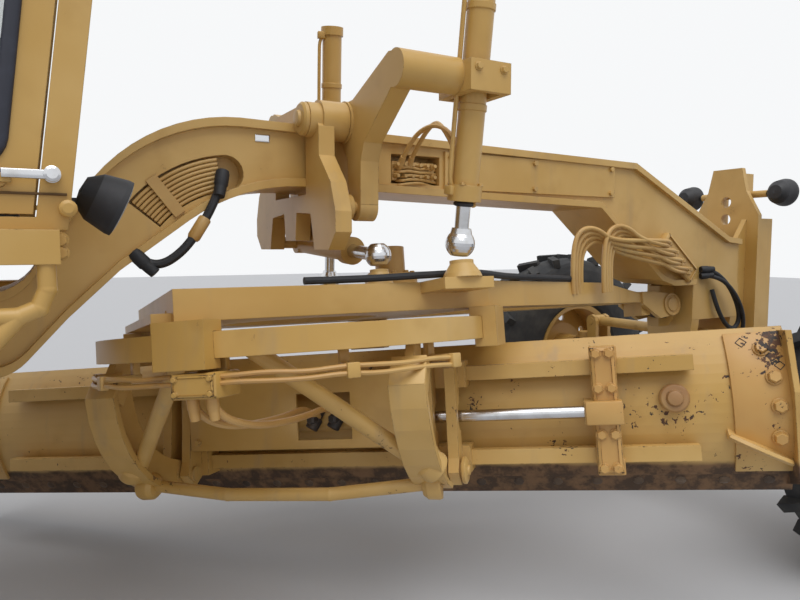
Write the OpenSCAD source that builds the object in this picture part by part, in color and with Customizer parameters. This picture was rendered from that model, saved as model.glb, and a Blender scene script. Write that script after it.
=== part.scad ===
/* [Chassis] */
// Front axle, ahead of the middle of the machine
front_axle_x = 3450; // [3440:1:3460]
// Tandem centre, behind the middle of the machine
tandem_x = -2470; // [-2480:1:-2460]
// Distance between the two axles of a tandem
tandem_pitch = 1520; // [1500:5:1530]
// Half of the track, wheel middle to machine middle
track_half = 1020; // [1015:1:1030]
// Vertical pin on which the front frame bends
hitch_x = -980; // [-990:1:-970]
// Rear face of the bumper
bumper_x = -4115; // [-4140:1:-4105]

/* [Wheels] */
// Tyre over the lugs
tyre_d = 1330; // [1320:1:1335]
// Tyre across the sidewalls
tyre_w = 340; // [330:1:345]
// Seat of the bead on the rim
bead_d = 610; // [600:1:620]
// Height of a lug
lug_h = 26; // [20:1:30]
// Lugs on one side of a tyre
lug_count = 22; // [16:1:24]
// Spindle in the hub
spindle_d = 80; // [70:1:90]

/* [Front frame] */
// Width over the side plates
frame_w = 300; // [290:1:310]
// How far a flange stands out from a side plate
flange_out = 22; // [15:1:25]
// Thickness of a flange
flange_t = 30; // [25:1:35]
// Top of the front section
frame_top_z = 1808; // [1800:1:1815]
// Depth of the front section
frame_h = 222; // [210:1:230]

/* [Front axle] */
// Height of the pivots on which the wheels lean
lean_z = 640; // [635:1:645]
// Distance of those pivots from the middle
lean_y = 700; // [695:1:705]
// Lean bar above the pivots
lean_bar_rise = 255; // [250:1:260]
// Distance of a king pin from the middle
king_y = 800; // [795:1:805]
// Steering arm, king pin to tie rod
steer_arm = 240; // [230:1:250]

/* [Drawbar and circle] */
// Ball at the front of the drawbar, along the machine
ball_x = 3180; // [3170:1:3190]
// Height of that ball
ball_z = 1060; // [1055:1:1065]
// Roll of the drawbar, right side up
draw_roll = 8.5; // [7.5:0.5:9]
// Swing of the drawbar to the left
draw_swing = 1.8; // [1:0.2:2.4]
// Middle of the circle, along the machine
circle_x = 1130; // [1120:1:1140]
// Outer diameter of the circle
circle_d = 1530; // [1510:5:1540]
// Width of the circle's rim
circle_rim = 100; // [90:1:105]
// Underside of the circle
circle_z = 965; // [960:1:970]
// Thickness of the circle
circle_t = 80; // [75:1:85]
// Teeth inside the circle
circle_teeth = 64; // [56:1:72]
// Turn of the circle, right end of the blade forward
circle_turn = 48; // [46:0.5:50]

/* [Blade] */
// Length of the mouldboard
blade_l = 3658; // [3600:1:3680]
// Radius of its curve
blade_r = 413; // [405:1:420]
// Thickness of its plate
blade_t = 22; // [18:1:25]
// Height of the cutting edge above the ground, drawbar level
edge_z = 330; // [325:1:345]
// Cutting edge ahead of the circle's middle
edge_out = 250; // [240:1:255]
// How far the blade is shifted to its left end
blade_shift = 30; // [0:1:40]
// Arms of the circle, distance from its middle
arm_y = 560; // [550:1:570]

/* [Lift gear] */
// Middle of the lift cylinders, along the machine
lift_x = 1500; // [1495:1:1505]
// Distance of their yokes from the middle
lift_y = 610; // [600:1:620]
// Height of the yokes
lift_z = 1930; // [1920:1:1940]
// Barrel of a lift cylinder
lift_d = 92; // [86:1:96]
// Rod of a lift cylinder
lift_rod_d = 50; // [46:1:54]
// Balls on the drawbar, distance from its middle
pedestal_y = 640; // [630:1:645]

/* [Cab] */
// Half of the cab's width
cab_half = 700; // [690:1:705]
// Front of the cab at its floor
cab_front_x = 262; // [255:1:270]
// Rear of the cab
cab_rear_x = -850; // [-860:1:-840]
// Floor of the cab
floor_z = 1420; // [1415:1:1425]
// Underside of the roof
roof_z = 3080; // [3040:5:3120]
// Forward lean of the front of the cab
cab_lean = 7.4; // [6.5:0.1:8]
// Thickness of walls and doors
wall_t = 42; // [38:1:45]

/* [Rear] */
// Width of the engine hood
hood_w = 900; // [880:2:920]
// Top of the hood at the cab
hood_z = 2080; // [2050:5:2120]

/* [Hidden] */
tyre_r = tyre_d / 2;
fit = 0.05;
gap = 6;
wheel_names = ["front_left", "front_right", "mid_left", "mid_right", "rear_left", "rear_right"];

yellow = "#D9A552";
tan = "#C98F3E";
dark = "#2B2A2C";
rubber = "#3A3B3E";
steel = "#5B4A3C";
chrome = "#C9CCD0";

// Axle position and side of each wheel
function wheel_x(n) = n < 2 ? front_axle_x : tandem_x + (n < 4 ? 1 : -1) * tandem_pitch / 2;
function wheel_side(n) = n % 2 == 0 ? 1 : -1;

// Points on an arc, from one angle to another
function arc(c, r, a0, a1, steps = 8) =
    [for (i = [0:steps]) let (a = a0 + (a1 - a0) * i / steps) [c[0] + r * cos(a), c[1] + r * sin(a)]];

// Plate with an outline in X and Z, from y0 towards +Y
module plate_y(points, y0, t) {
    translate([0, y0 + t, 0]) rotate([90, 0, 0]) linear_extrude(t) polygon(points);
}

// Plate with an outline in Y and Z, from x0 towards +X
module plate_x(points, x0, t) {
    translate([x0, 0, 0]) rotate([90, 0, 90]) linear_extrude(t) polygon(points);
}

// Round bar between two points
module bar(p, q, d) {
    v = q - p;
    translate(p) rotate([0, acos(v[2] / norm(v)), atan2(v[1], v[0])]) cylinder(d = d, h = norm(v), $fn = 32);
}

// Round bars through points, with a ball just proud of the bars at each joint
module bent_bar(points, d) {
    for (i = [0:len(points) - 2]) bar(points[i], points[i + 1], d);
    for (i = [1:len(points) - 2]) translate(points[i]) sphere(d = d + 2, $fn = 32);
}

module pin_x(p, d, l) {
    translate(p) rotate([0, 90, 0]) cylinder(d = d, h = l, center = true, $fn = 48);
}

module pin_y(p, d, l) {
    translate(p) rotate([90, 0, 0]) cylinder(d = d, h = l, center = true, $fn = 48);
}

module pin_z(p, d, l) {
    translate(p) cylinder(d = d, h = l, center = true, $fn = 48);
}

module box(x, y, z) {
    translate([x[0], y[0], z[0]]) cube([x[1] - x[0], y[1] - y[0], z[1] - z[0]]);
}

module both_sides() {
    children();
    mirror([0, 1, 0]) children();
}

/* Wheels */

crown_r = tyre_r - lug_h;
half_w = tyre_w / 2;
bulge_r = 40;

// Half section of the carcass, radius and width
module tyre_section() {
    bead = [[bead_d / 2, half_w - 47], [bead_d / 2 + 20, half_w - 40.8]];
    wall = [for (a = [-65:26:65]) [bead_d / 2 + 165 + 140 * sin(a), half_w - bulge_r + bulge_r * cos(a)]];
    tread = [for (t = [1:-0.5:-1]) [crown_r - 24 * t * t, t * (half_w - 35)]];
    polygon(concat(bead, wall, tread, [for (p = reversed(concat(bead, wall))) [p[0], -p[1]]]));
}

module tyre(n) {
    color(rubber) translate([wheel_x(n), wheel_side(n) * track_half, tyre_r]) union() {
        rotate([90, 0, 0]) rotate_extrude($fn = 64) tyre_section();
        for (s = [-1, 1], i = [0:lug_count - 1])
            rotate([0, (i + (s + 1) / 4) * 360 / lug_count, 0])
                translate([0, s * (half_w - 92), tyre_r - lug_h / 2 - 16])
                    rotate([0, 0, s * 28]) cube([44, 150, lug_h + 32], center = true);
    }
}

rim_t = 12;
hub_d = 210;

// Rim, dished disc with hand holes and hub, outer face towards +Y
module rim_plus_y() {
    difference() {
        rotate([-90, 0, 0]) rotate_extrude($fn = 64) {
            polygon([[bead_d / 2 - rim_t, -half_w + 40], [bead_d / 2 + 18, -half_w + 28],
                [bead_d / 2 + 18, -half_w + 40], [bead_d / 2 - 0.3, -half_w + 46], [bead_d / 2 - 0.3, half_w - 46],
                [bead_d / 2 + 18, half_w - 40], [bead_d / 2 + 18, half_w - 28], [bead_d / 2 - rim_t, half_w - 40]]);
            polygon([[100, 20], [180, 20], [bead_d / 2 - rim_t - 1, 62], [bead_d / 2 - rim_t + 2, 62],
                [bead_d / 2 - rim_t + 2, 80], [bead_d / 2 - rim_t - 6, 80], [176, 38], [100, 38]]);
            translate([0, -90]) square([hub_d / 2, 128]);
            translate([0, 30]) square([72, 60]);
        }
        rotate([90, 0, 0]) translate([0, 0, -60]) cylinder(d = spindle_d + 2 * fit, h = 200, $fn = 64);
        for (i = [0:5]) rotate([0, 60 * i, 0]) translate([0, 0, 225])
            rotate([90, 0, 0]) cylinder(d = 62, h = 300, center = true, $fn = 32);
    }
    for (i = [0:9]) rotate([0, 36 * i, 0]) translate([0, 36, 140])
        rotate([-90, 0, 0]) cylinder(d = 26, h = 24, $fn = 6);
}

module rim(n) {
    color(yellow) translate([wheel_x(n), wheel_side(n) * track_half, tyre_r])
        mirror([0, wheel_side(n) > 0 ? 0 : 1, 0]) rim_plus_y();
}

// Stub on which a wheel turns, root face at y0 inside the wheel's middle
module stub(n, y0) {
    s = wheel_side(n);
    translate([wheel_x(n), s * (track_half + 55), tyre_r]) rotate([s * 90, 0, 0])
        cylinder(d = spindle_d, h = 55 - y0, $fn = 64);
}

/* Rear body */

rail_z = [900, 1120];
rail_y = 375;
hitch_low_z = 840;
hitch_top_z = 1240;
tongue_z = [hitch_low_z + 60 + 5, hitch_top_z - 60 - 5];
hitch_pin_d = 90;
tongue_r = 110;
bumper_top = rail_z[1] - 0.3;

module rear_frame() {
    rear_steps();
    color(yellow) {
        both_sides() box([bumper_x + 120, hitch_x - 170], [rail_y - 90, rail_y], rail_z);
        box([hitch_x - 280, hitch_x - 170], [-rail_y, rail_y], [rail_z[0], tongue_z[1]]);
        box([hitch_x - 175, hitch_x], [-tongue_r, tongue_r], tongue_z);
        pin_z([hitch_x, 0, (tongue_z[0] + tongue_z[1]) / 2], 2 * tongue_r, tongue_z[1] - tongue_z[0]);
        pin_z([hitch_x, 0, (hitch_low_z + hitch_top_z) / 2], hitch_pin_d, hitch_top_z - hitch_low_z + 20);
        for (x = [-3400, -1900]) box([x - 60, x + 60], [-rail_y + 80, rail_y - 80], [920, 1060]);
        difference() {
            box([bumper_x, bumper_x + 120], [-620, 620], [760, bumper_top]);
            box([bumper_x - 1, bumper_x + 70], [-80, 80], [860, 960]);
            pin_z([bumper_x + 35, 0, 970], 42, 500);
        }
        both_sides() plate_x([[560, 760], [620, 820], [620, bumper_top], [560, bumper_top]], bumper_x + 119, 200);
    }
}

hood_front_x = -1420;
hood_rear_x = bumper_x + 95;
hood_t = 6;

// Outline of the hood in Y and Z at one end
function hood_outline(w, z) = [[-w, rail_z[1]], [-w, z - 120], [-w + 60, z - 30], [-w + 150, z],
    [w - 150, z], [w - 60, z - 30], [w, z - 120], [w, rail_z[1]]];

module hood_solid(inset) {
    plate_x(hood_outline(hood_w / 2 - inset, hood_z - inset),
        hood_rear_x + inset, hood_front_x - hood_rear_x - 2 * inset);
}

module engine_hood() {
    color(yellow) difference() {
        hood_solid(0);
        hood_solid(hood_t);
        box([hood_rear_x - 1, hood_rear_x + 2 * hood_t], [-hood_w / 2 + 60, hood_w / 2 - 60], [rail_z[1] + 60, hood_z - 90]);
        box([hood_rear_x + 10, hood_front_x - 10], [-hood_w / 2 + hood_t, hood_w / 2 - hood_t], [rail_z[1] - 1, rail_z[1] + 10]);
        for (s = [-1, 1], x = [-3700, -3050, -2400], i = [0:8])
            translate([x + 60 * i, s * hood_w / 2, 1560]) cube([26, 40, 420], center = true);
        for (e = [exhaust_at, cleaner_at]) translate([e[0], e[1], hood_z - 20]) cylinder(d = e[2] + 12, h = 60);
    }
}

exhaust_at = [-2050, -180, 110];
cleaner_at = [-2050, 200, 90];
engine_top_z = 1900;

module radiator_grille() {
    y = hood_w / 2 - 60.3;
    z = [rail_z[1] + 60.3, hood_z - 90.3];
    color(dark) {
        difference() {
            box([hood_rear_x, hood_rear_x + hood_t], [-y, y], z);
            box([hood_rear_x - 1, hood_rear_x + hood_t + 1], [-y + 40, y - 40], [z[0] + 40, z[1] - 40]);
        }
        for (i = [1:17]) box([hood_rear_x - 14, hood_rear_x + hood_t], [-y + 1, y - 1],
            [z[0] + i * (z[1] - z[0]) / 18 - 6, z[0] + i * (z[1] - z[0]) / 18 + 6]);
        for (yy = [-y / 3, y / 3]) box([hood_rear_x, hood_rear_x + hood_t], [yy - 10, yy + 10], [z[0] + 10, z[1] - 10]);
    }
}

module engine() {
    exhaust_and_intake();
    color(dark) box([-2900, -1650], [-280, 280], [rail_z[1], engine_top_z]);
}

module exhaust_and_intake() {
    color(dark) {
        translate([exhaust_at[0], exhaust_at[1], engine_top_z]) cylinder(d = exhaust_at[2], h = 980, $fn = 48);
        translate([exhaust_at[0], exhaust_at[1], 2130]) cylinder(d = 170, h = 560, $fn = 48);
        translate([cleaner_at[0], cleaner_at[1], engine_top_z]) cylinder(d = cleaner_at[2], h = 560, $fn = 48);
        translate([cleaner_at[0], cleaner_at[1], 2440]) rotate_extrude($fn = 48)
            polygon([[0, 0], [60, 0], [150, 40], [150, 120], [120, 170], [0, 190]]);
    }
}

case_y = [640, 815];

module rear_axle() {
    color(tan) {
        both_sides() pin_y([tandem_x, (case_y[0] + 200) / 2, tyre_r + 40], 230, case_y[0] - 200);
        translate([tandem_x, 0, tyre_r + 40]) rotate([0, 90, 0]) rotate_extrude($fn = 48)
            polygon([[0, -230], [150, -230], [225, -90], [225, 90], [150, 230], [0, 230]]);
        both_sides() box([tandem_x - 110, tandem_x + 110], [rail_y - 85, rail_y - 5], [tyre_r + 40, rail_z[0]]);
    }
}

module tandem_cases() {
    color(yellow) both_sides() difference() {
        union() {
            translate([tandem_x, case_y[1], tyre_r]) rotate([90, 0, 0]) linear_extrude(case_y[1] - case_y[0])
                polygon(concat(arc([tandem_pitch / 2, 0], 200, -90, 60, 8), arc([0, 40], 300, 70, 110, 4),
                    arc([-tandem_pitch / 2, 0], 200, 120, 270, 8)));
            pin_y([tandem_x, case_y[1] + 6, tyre_r + 40], 300, 24);
            for (n = [2, 4]) pin_y([wheel_x(n), case_y[1] + 30, tyre_r], 180, 62);
        }
    }
    color(chrome) for (n = [2:5]) stub(n, -(track_half - case_y[1] - 10));
}

module rear_steps() {
    x = [hitch_x - 190, hitch_x + 90];
    color(yellow) both_sides() {
        for (px = x) plate_x([[rail_y, 1110], [600, 1150], [840, 1150], [840, 560], [590, 560], [590, 1050], [rail_y, 930]],
            px, 14);
        for (z = [560, 740, 920]) box([x[0] + 14, x[1]], [600, 830], [z, z + 30]);
        box([x[0] + 14, x[1]], [560, 840], [1120, 1150]);
    }
}

module rear_lamps() {
    color("#8E1B16") both_sides() {
        translate([bumper_x + 40, 520, bumper_top]) cylinder(d = 40, h = 40, $fn = 32);
        translate([bumper_x + 40, 520, bumper_top + 92]) rotate([0, -90, 0]) cylinder(d = 120, h = 50, center = true, $fn = 48);
    }
}

/* Front frame */

side_y = frame_w / 2;
flange_y = side_y + flange_out;
bolster_rear = 3264;
bolster_front = 3650;
bolster_top_z = 1180;
neck_top_c = [830, frame_top_z + 18 - 600];
neck_low_c = [1050, frame_top_z - frame_h + 14 - 681];
neck_low_z = 985;

neck_top = concat([[hitch_x + 150, hitch_top_z]],
    arc([48, hitch_top_z + 160], 160, -90, -27.6, 6),
    arc(neck_top_c, 600, 152.4, 90, 12),
    [[2784, frame_top_z - 18], [3528, 1436], [3640, 1425]]);
neck_low = concat([[hitch_x + 150, hitch_low_z]],
    [[hitch_x + 185, neck_low_z]],
    arc([53, neck_low_z + 140], 140, -90, -42, 5),
    [[273, 1158], [429, 1306]],
    arc(neck_low_c, 681, 126, 90, 8),
    [[2555, frame_top_z - frame_h - 20], [2991, 1212], [3090, bolster_top_z], [bolster_rear, bolster_top_z]]);

function shift_z(points, dz) = [for (p = points) [p[0], p[1] + dz]];
function reversed(points) = [for (i = [len(points) - 1:-1:0]) points[i]];

bolster_x = [bolster_rear, bolster_front];
lug_z = lean_z - 40;

valve_x = [1430, 1655];

module front_frame() {
    side_cover();
    color(yellow) difference() {
        union() {
            difference() {
                plate_y(concat(neck_top, [[bolster_front - 10, bolster_top_z - 80], [bolster_rear, bolster_top_z - 80]],
                    reversed(neck_low)), -side_y, frame_w);
                line_slot();
                box(valve_x, [-side_y - 1, -side_y + 90], [frame_top_z - frame_h + 45, frame_top_z - 62]);
            }
            plate_y(concat(neck_top, reversed(shift_z(neck_top, -flange_t))), -flange_y, 2 * flange_y);
            plate_y(concat(shift_z(neck_low, flange_t), reversed(neck_low)), -flange_y, 2 * flange_y);
            for (z = [hitch_low_z, hitch_top_z - 60]) {
                box([hitch_x, hitch_x + 160], [-side_y, side_y], [z, z + 60]);
                pin_z([hitch_x, 0, z + 30], frame_w, 60);
            }
            box(bolster_x, [-side_y, side_y], [990, bolster_top_z]);
            for (x = [bolster_x[0], bolster_x[1] - 60])
                plate_x([[-side_y, 1000], [-110, lug_z], [110, lug_z], [side_y, 1000]], x, 60);
        }
        pin_z([hitch_x, 0, 1040], hitch_pin_d + 2 * fit, 500);
        pin_x([front_axle_x, 0, lean_z + 60], 80, 460);
    }
}

ball_d = 150;
ball_flat = 55;

socket_half = 36;

// Jaws over and under the ball, bolted behind the bolster
module drawbar_socket() {
    color(yellow) difference() {
        translate([0, socket_half, 0]) rotate([90, 0, 0]) linear_extrude(2 * socket_half)
            polygon([[ball_x - 40, ball_z + 50], [ball_x - 40, ball_z + 110], [ball_x + 10, bolster_top_z - 0.5], [bolster_x[0] - 0.3, bolster_top_z - 0.5],
                [bolster_x[0] - 0.3, ball_z - 70], [ball_x + 40, ball_z - 110], [ball_x - 40, ball_z - 110],
                [ball_x - 40, ball_z - 50], [ball_x + 50, ball_z - 50], [ball_x + 50, ball_z + 50]]);
        translate(ball) sphere(d = ball_d + 0.6, $fn = 64);
    }
}

// Slot in the right side plate in which the lines lie
module line_slot() {
    translate([0, -side_y + 60, 0]) rotate([90, 0, 0]) linear_extrude(60 + flange_out + 1) {
        polygon(concat(arc(neck_top_c, 475, 97, 141, 10), arc(neck_top_c, 350, 141, 97, 10),
            arc([neck_top_c[0] + 412.5 * cos(97), neck_top_c[1] + 412.5 * sin(97)], 62.5, -70, 84, 8)));
    }
}

module side_cover() {
    color(yellow) {
        box([1676, 2648], [-side_y - 12, -side_y], [frame_top_z - frame_h + 32, frame_top_z - 38]);
        for (x = [1700, 2150, 2620], z = [frame_top_z - frame_h + 52, frame_top_z - 58])
            translate([x, -side_y - 12, z]) rotate([90, 0, 0]) cylinder(d = 24, h = 12, $fn = 6);
    }
}

// Steel lines in the slot of the neck and the clamps over them
module frame_lines() {
    color(tan) {
        for (i = [0:7]) translate([neck_top_c[0], -side_y + 5, neck_top_c[1]]) rotate([90, 0, 0])
            rotate([0, 0, 100]) rotate_extrude(angle = 40, $fn = 96) translate([360 + 14.5 * i, 0]) circle(d = 12, $fn = 16);
        translate([neck_top_c[0], -side_y - 8, neck_top_c[1]]) rotate([0, -128, 0]) translate([335, 0, -20]) cube([150, 8, 40]);
    }
}

/* Saddle and lift gear */

saddle_t = 60;
saddle_x = [1065, 1065 + saddle_t];
arm_pivot = [235, 1830];
arm_pin_d = 70;
link_x = [saddle_x[1] + 10, saddle_x[1] + 50];
link_end = [315, 1520];
link_low_z = 1445;
link_arc_r = (link_end[0] * link_end[0] + (link_end[1] - link_low_z) * (link_end[1] - link_low_z)) / (2 * (link_end[1] - link_low_z));
link_pin_d = 44;
link_hole_d = 42;
trunnion_d = 44;

// Right half of the saddle's outline, from the tongue for the locking pin up to the top
saddle_edge = [[55, 1405], [70, 1510], [215, 1500], [250, 1370], [380, 1370], [440, 1430], [440, 1500], [400, 1600],
    [300, 1700], [300, 1800], [230, 1880], [120, 1900]];

module saddle() {
    color(yellow) {
        difference() {
            union() {
                plate_x(concat(saddle_edge, [for (p = reversed(saddle_edge)) [-p[0], p[1]]]), saddle_x[0], saddle_t);
                both_sides() pin_x([saddle_x[1] + 10, arm_pivot[0], arm_pivot[1]], 140, 100);
                both_sides() pin_x([saddle_x[1] - 60, arm_pivot[0], arm_pivot[1]], 120, 50);
            }
            box([saddle_x[0] - 60, saddle_x[1] + 70], [-flange_y - 0.3, flange_y + 0.3],
                [frame_top_z - frame_h - 14.3, frame_top_z + 18.3]);
        }
        both_sides() pin_x([saddle_x[1] + 75, arm_pivot[0], arm_pivot[1]], arm_pin_d, 260);
        pin_x([saddle_x[1] + 30, 0, link_low_z], link_hole_d, 60);
        pin_x([(saddle_x[1] + shift_root[0] + 60) / 2, shift_root[1], shift_root[2]], 50, shift_root[0] + 60 - saddle_x[1]);
    }
}

// Bar that ties the lower ends of the lift arms, with its row of locking holes
module link_bar() {
    ends = [for (s = [-1, 1]) [s * link_end[0], link_end[1]]];
    c = [0, link_low_z + link_arc_r];
    half = asin(link_end[0] / link_arc_r);
    color(tan) difference() {
        union() {
            plate_x(concat(arc(c, link_arc_r + 42, -90 - half, -90 + half, 12), arc(c, link_arc_r - 42, -90 + half, -90 - half, 12)),
                link_x[0], link_x[1] - link_x[0]);
            for (e = ends) pin_x([(link_x[0] + link_x[1]) / 2, e[0], e[1]], 92, link_x[1] - link_x[0]);
        }
        for (e = ends) pin_x([link_x[0], e[0], e[1]], link_pin_d + 2 * fit, 200);
        for (i = [-3:3]) pin_x([link_x[0], c[0] + link_arc_r * sin(i * 12), c[1] - link_arc_r * cos(i * 12)],
            link_hole_d + 2 * fit, 200);
    }
}

module lift_arms() {
    x = saddle_x[1] + 70;
    color(yellow) both_sides() difference() {
        union() {
            plate_x([[170, 1800], [200, 1760], [250, 1700], [268, 1530], [362, 1530], [365, 1680], [390, 1740],
                [lift_y, 1900], [lift_y + 20, 1990], [lift_y - 40, 2000], [300, 1900], [200, 1900]], x, 70);
            pin_x([x + 46, arm_pivot[0], arm_pivot[1]], 150, 110);
            pin_x([x + 35, link_end[0], link_end[1]], 94, 70);
            pin_x([x - 10, link_end[0], link_end[1]], link_pin_d, 110);
            pin_x([(x + lift_x - 75) / 2, lift_y, lift_z + 10], 120, lift_x - 75 - x);
            box([lift_x - 80, lift_x + 80], [lift_y - 95, lift_y + 95], [lift_z - 50, lift_z + 50]);
        }
        pin_x([x + 30, arm_pivot[0], arm_pivot[1]], arm_pin_d + 2 * fit, 300);
        box([x - 20, x + 110], [0, flange_y + 0.3], [frame_top_z - 60, frame_top_z + 18.3]);
        box([lift_x - lift_d / 2 - gap, lift_x + lift_d / 2 + gap], [lift_y - 74, lift_y + 74], [lift_z - 60, lift_z + 60]);
        pin_x([lift_x, lift_y, lift_z], trunnion_d + 2 * fit, 150 + 2 * gap);
    }
}

// Turns the lift cylinders from upright to their balls on the drawbar
module lift_line(s) {
    b = rest_point([lift_x + 10, s * pedestal_y, ball_top_z]);
    v = [lift_x, s * lift_y, lift_z] - b;
    translate(b) rotate([0, acos(v[2] / norm(v)), atan2(v[1], v[0])]) rotate([0, 0, -atan2(v[1], v[0])]) children();
}

function lift_length(s) = norm([lift_x, s * lift_y, lift_z] - rest_point([lift_x + 10, s * pedestal_y, ball_top_z]));

module lift_cylinder(s) {
    l = lift_length(s);
    low = l - 395;
    color(yellow) difference() {
        union() {
            pin_x([lift_x, s * lift_y, lift_z], trunnion_d, 150);
            lift_line(s) {
                translate([0, 0, low]) cylinder(d = lift_d, h = 890, $fn = 64);
                translate([0, 0, low]) cylinder(d = lift_d + 26, h = 55, $fn = 64);
                translate([0, 0, low + 860]) cylinder(d = lift_d + 14, h = 40, $fn = 64);
            }
        }
        lift_line(s) translate([0, 0, low - 1]) cylinder(d = lift_rod_d + 2 * fit, h = 860, $fn = 64);
    }
}

module lift_rod(s) {
    l = lift_length(s);
    color(chrome) lift_line(s) {
        translate([0, 0, 45]) cylinder(d = lift_rod_d, h = l - 60, $fn = 64);
        rotate_extrude($fn = 64) polygon(concat([[0, 54], [34, 54]], arc([0, 0], eye_r, 42, -eye_edge, 8), [[0, -eye_low]]));
    }
}

// Cylinder that swings the drawbar, from the saddle's left leg to the drawbar's right beam
shift_root = [1230, 300, 1400];

module shift_line() {
    v = rest_point(shift_at) - shift_root;
    translate(shift_root) rotate([0, acos(v[2] / norm(v)), atan2(v[1], v[0])]) children();
}

function shift_length() = norm(rest_point(shift_at) - shift_root);

module shift_cylinder() {
    shift_l = shift_length();
    color(yellow) difference() {
        union() {
            shift_line() {
                translate([0, 0, 30]) cylinder(d = 88, h = shift_l - 215, $fn = 64);
                translate([0, 0, shift_l - 235]) cylinder(d = 108, h = 50, $fn = 64);
            }
            pin_x(shift_root, 92, 70);
        }
        shift_line() translate([0, 0, 90]) cylinder(d = 50 + 2 * fit, h = shift_l, $fn = 64);
        pin_x(shift_root, 50 + 2 * fit, 100);
    }
}

module shift_rod() {
    shift_l = shift_length();
    color(chrome) {
        shift_line() translate([0, 0, 300]) cylinder(d = 50, h = shift_l - 342, $fn = 64);
        translate(rest_point(shift_at)) rotate(rest_turn) rotate_extrude($fn = 64)
            polygon(concat([[0, 40], [26, 40]], arc([0, 0], 48, 56, -asin(shift_low / 48), 8), [[0, -shift_low]]));
    }
}

/* Drawbar group, drawn level and then swung and rolled about its ball */

rest_turn = [-draw_roll, 0, -draw_swing];
ball = [ball_x, 0, ball_z];
ball_top_z = 1300;

// Ball housings at the rods' lower ends: radius, depth below the ball's middle, clearance over their pedestals
eye_r = 52;
eye_low = 42;
eye_edge = asin(eye_low / eye_r);
eye_gap = 17;

function turn_x(p, a) = [p[0], p[1] * cos(a) - p[2] * sin(a), p[1] * sin(a) + p[2] * cos(a)];
function turn_z(p, a) = [p[0] * cos(a) - p[1] * sin(a), p[0] * sin(a) + p[1] * cos(a), p[2]];
function rest_point(p) = ball + turn_z(turn_x(p - ball, -draw_roll), -draw_swing);

module at_rest() {
    translate(ball) rotate(rest_turn) translate(-ball) children();
}

module on_circle() {
    at_rest() translate([circle_x, 0, 0]) rotate([0, 0, circle_turn]) children();
}

module drawbar_ball() {
    edge = asin(2 * ball_flat / ball_d);
    color(steel) difference() {
        at_rest() translate(ball) rotate([90, 0, 0]) rotate_extrude($fn = 64)
            polygon(concat([[20 + fit, -ball_flat]], arc([0, 0], ball_d / 2, -edge, edge, 12), [[20 + fit, ball_flat]]));
        pin_z(ball, 14, ball_d + 20);
    }
}

beam_y = 470;
beam_z = [1080, 1180];
nose_x = ball_x - 150;

// Outline of one drawbar beam in plan
beam_plan = [[nose_x, 0], [nose_x, 60], [2850, 110], [1700, beam_y + 45], [620, beam_y + 45], [620, beam_y - 75],
    [1640, beam_y - 75], [2700, 0]];

shoe_lip_r = circle_d / 2 - 30;
shoe_fit = 0.4;
shift_at = [1290, -430, 1290];
shift_low = 36;
eye_seat = ball_top_z - eye_low - eye_gap - beam_z[1];
shift_seat = shift_at[2] - shift_low - eye_gap - beam_z[1];

module drawbar() {
    color(yellow) at_rest() {
        difference() {
            both_sides() {
                translate([0, 0, beam_z[0]]) linear_extrude(beam_z[1] - beam_z[0]) polygon(beam_plan);
                box([nose_x - 50, nose_x + 10], [0, 63], [1010, 1170]);
            }
            along_y(-200, 400) polygon([[2600, beam_z[1] + 1], [2930, 1135], [ball_x, 1135], [ball_x, beam_z[1] + 1]]);
        }
        both_sides() {
            plate_y([[nose_x - 60, beam_z[0] - 10], [nose_x + 60, 990], [ball_x - 10, 1000], [ball_x + 45, 1030],
                [ball_x + 45, 1090], [ball_x - 10, 1120], [nose_x + 20, 1135], [nose_x - 60, 1135]], 62, 26);
            box([lift_x - 90, lift_x + 110], [beam_y - 60, pedestal_y + 45], [beam_z[1] - 40, beam_z[1]]);
            translate([lift_x + 10, pedestal_y, beam_z[1]]) rotate_extrude($fn = 48)
                polygon([[0, 0], [70, 0], [64, 16], [42, eye_seat - 12], [42, eye_seat], [0, eye_seat]]);
            for (a = [45, 135]) translate([circle_x, 0, 0]) rotate([0, 0, a]) {
                difference() {
                    box([shoe_lip_r - 20, circle_d / 2 + 45], [-90, 90], [circle_z - 30, beam_z[0]]);
                    translate([0, 0, circle_z - shoe_fit]) cylinder(d = circle_d + 2 * shoe_fit, h = circle_t + 2 * shoe_fit, $fn = 128);
                    translate([0, 0, circle_z - 31]) cylinder(r = shoe_lip_r, h = 32, $fn = 128);
                }
            }
        }
        pin_y(ball, 40, 2 * 88);
        box([560, 700], [-beam_y - 45, beam_y + 45], beam_z);
        translate([circle_x, 0, beam_z[0]]) difference() {
            linear_extrude(30) difference() {
                square([1260, 2 * beam_y], center = true);
                circle(d = 620, $fn = 64);
            }
        }
        box([lift_x - 60, lift_x + 60], [-beam_y, beam_y], [beam_z[0], beam_z[1] - 10]);
        translate([circle_x + 420, 0, beam_z[0] + 30]) cylinder(d = 230, h = 150, $fn = 48);
        translate([circle_x + 420, 0, beam_z[0] + 180]) cylinder(d = 130, h = 120, $fn = 48);
        translate([shift_at[0], shift_at[1], beam_z[1]]) rotate_extrude($fn = 48)
            polygon([[0, 0], [50, 0], [46, 16], [34, shift_seat - 10], [34, shift_seat], [0, shift_seat]]);
    }
}

// Inner edge of the circle with its teeth
function tooth_ring(r) = [for (i = [0:circle_teeth - 1], k = [0:3]) let (a = (i + [0.02, 0.28, 0.5, 0.8][k]) * 360 / circle_teeth,
    rr = r + [0, -34, -34, 0][k]) [rr * cos(a), rr * sin(a)]];

module circle_ring() {
    linear_extrude(circle_t) difference() {
        circle(d = circle_d, $fn = 128);
        polygon(tooth_ring(circle_d / 2 - circle_rim + 34));
    }
}

module turn_circle() {
    color(yellow) on_circle() translate([0, 0, circle_z]) circle_ring();
}

/* Blade, drawn in the circle's frame: X towards the front of the blade, Y along it to its left end */

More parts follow.
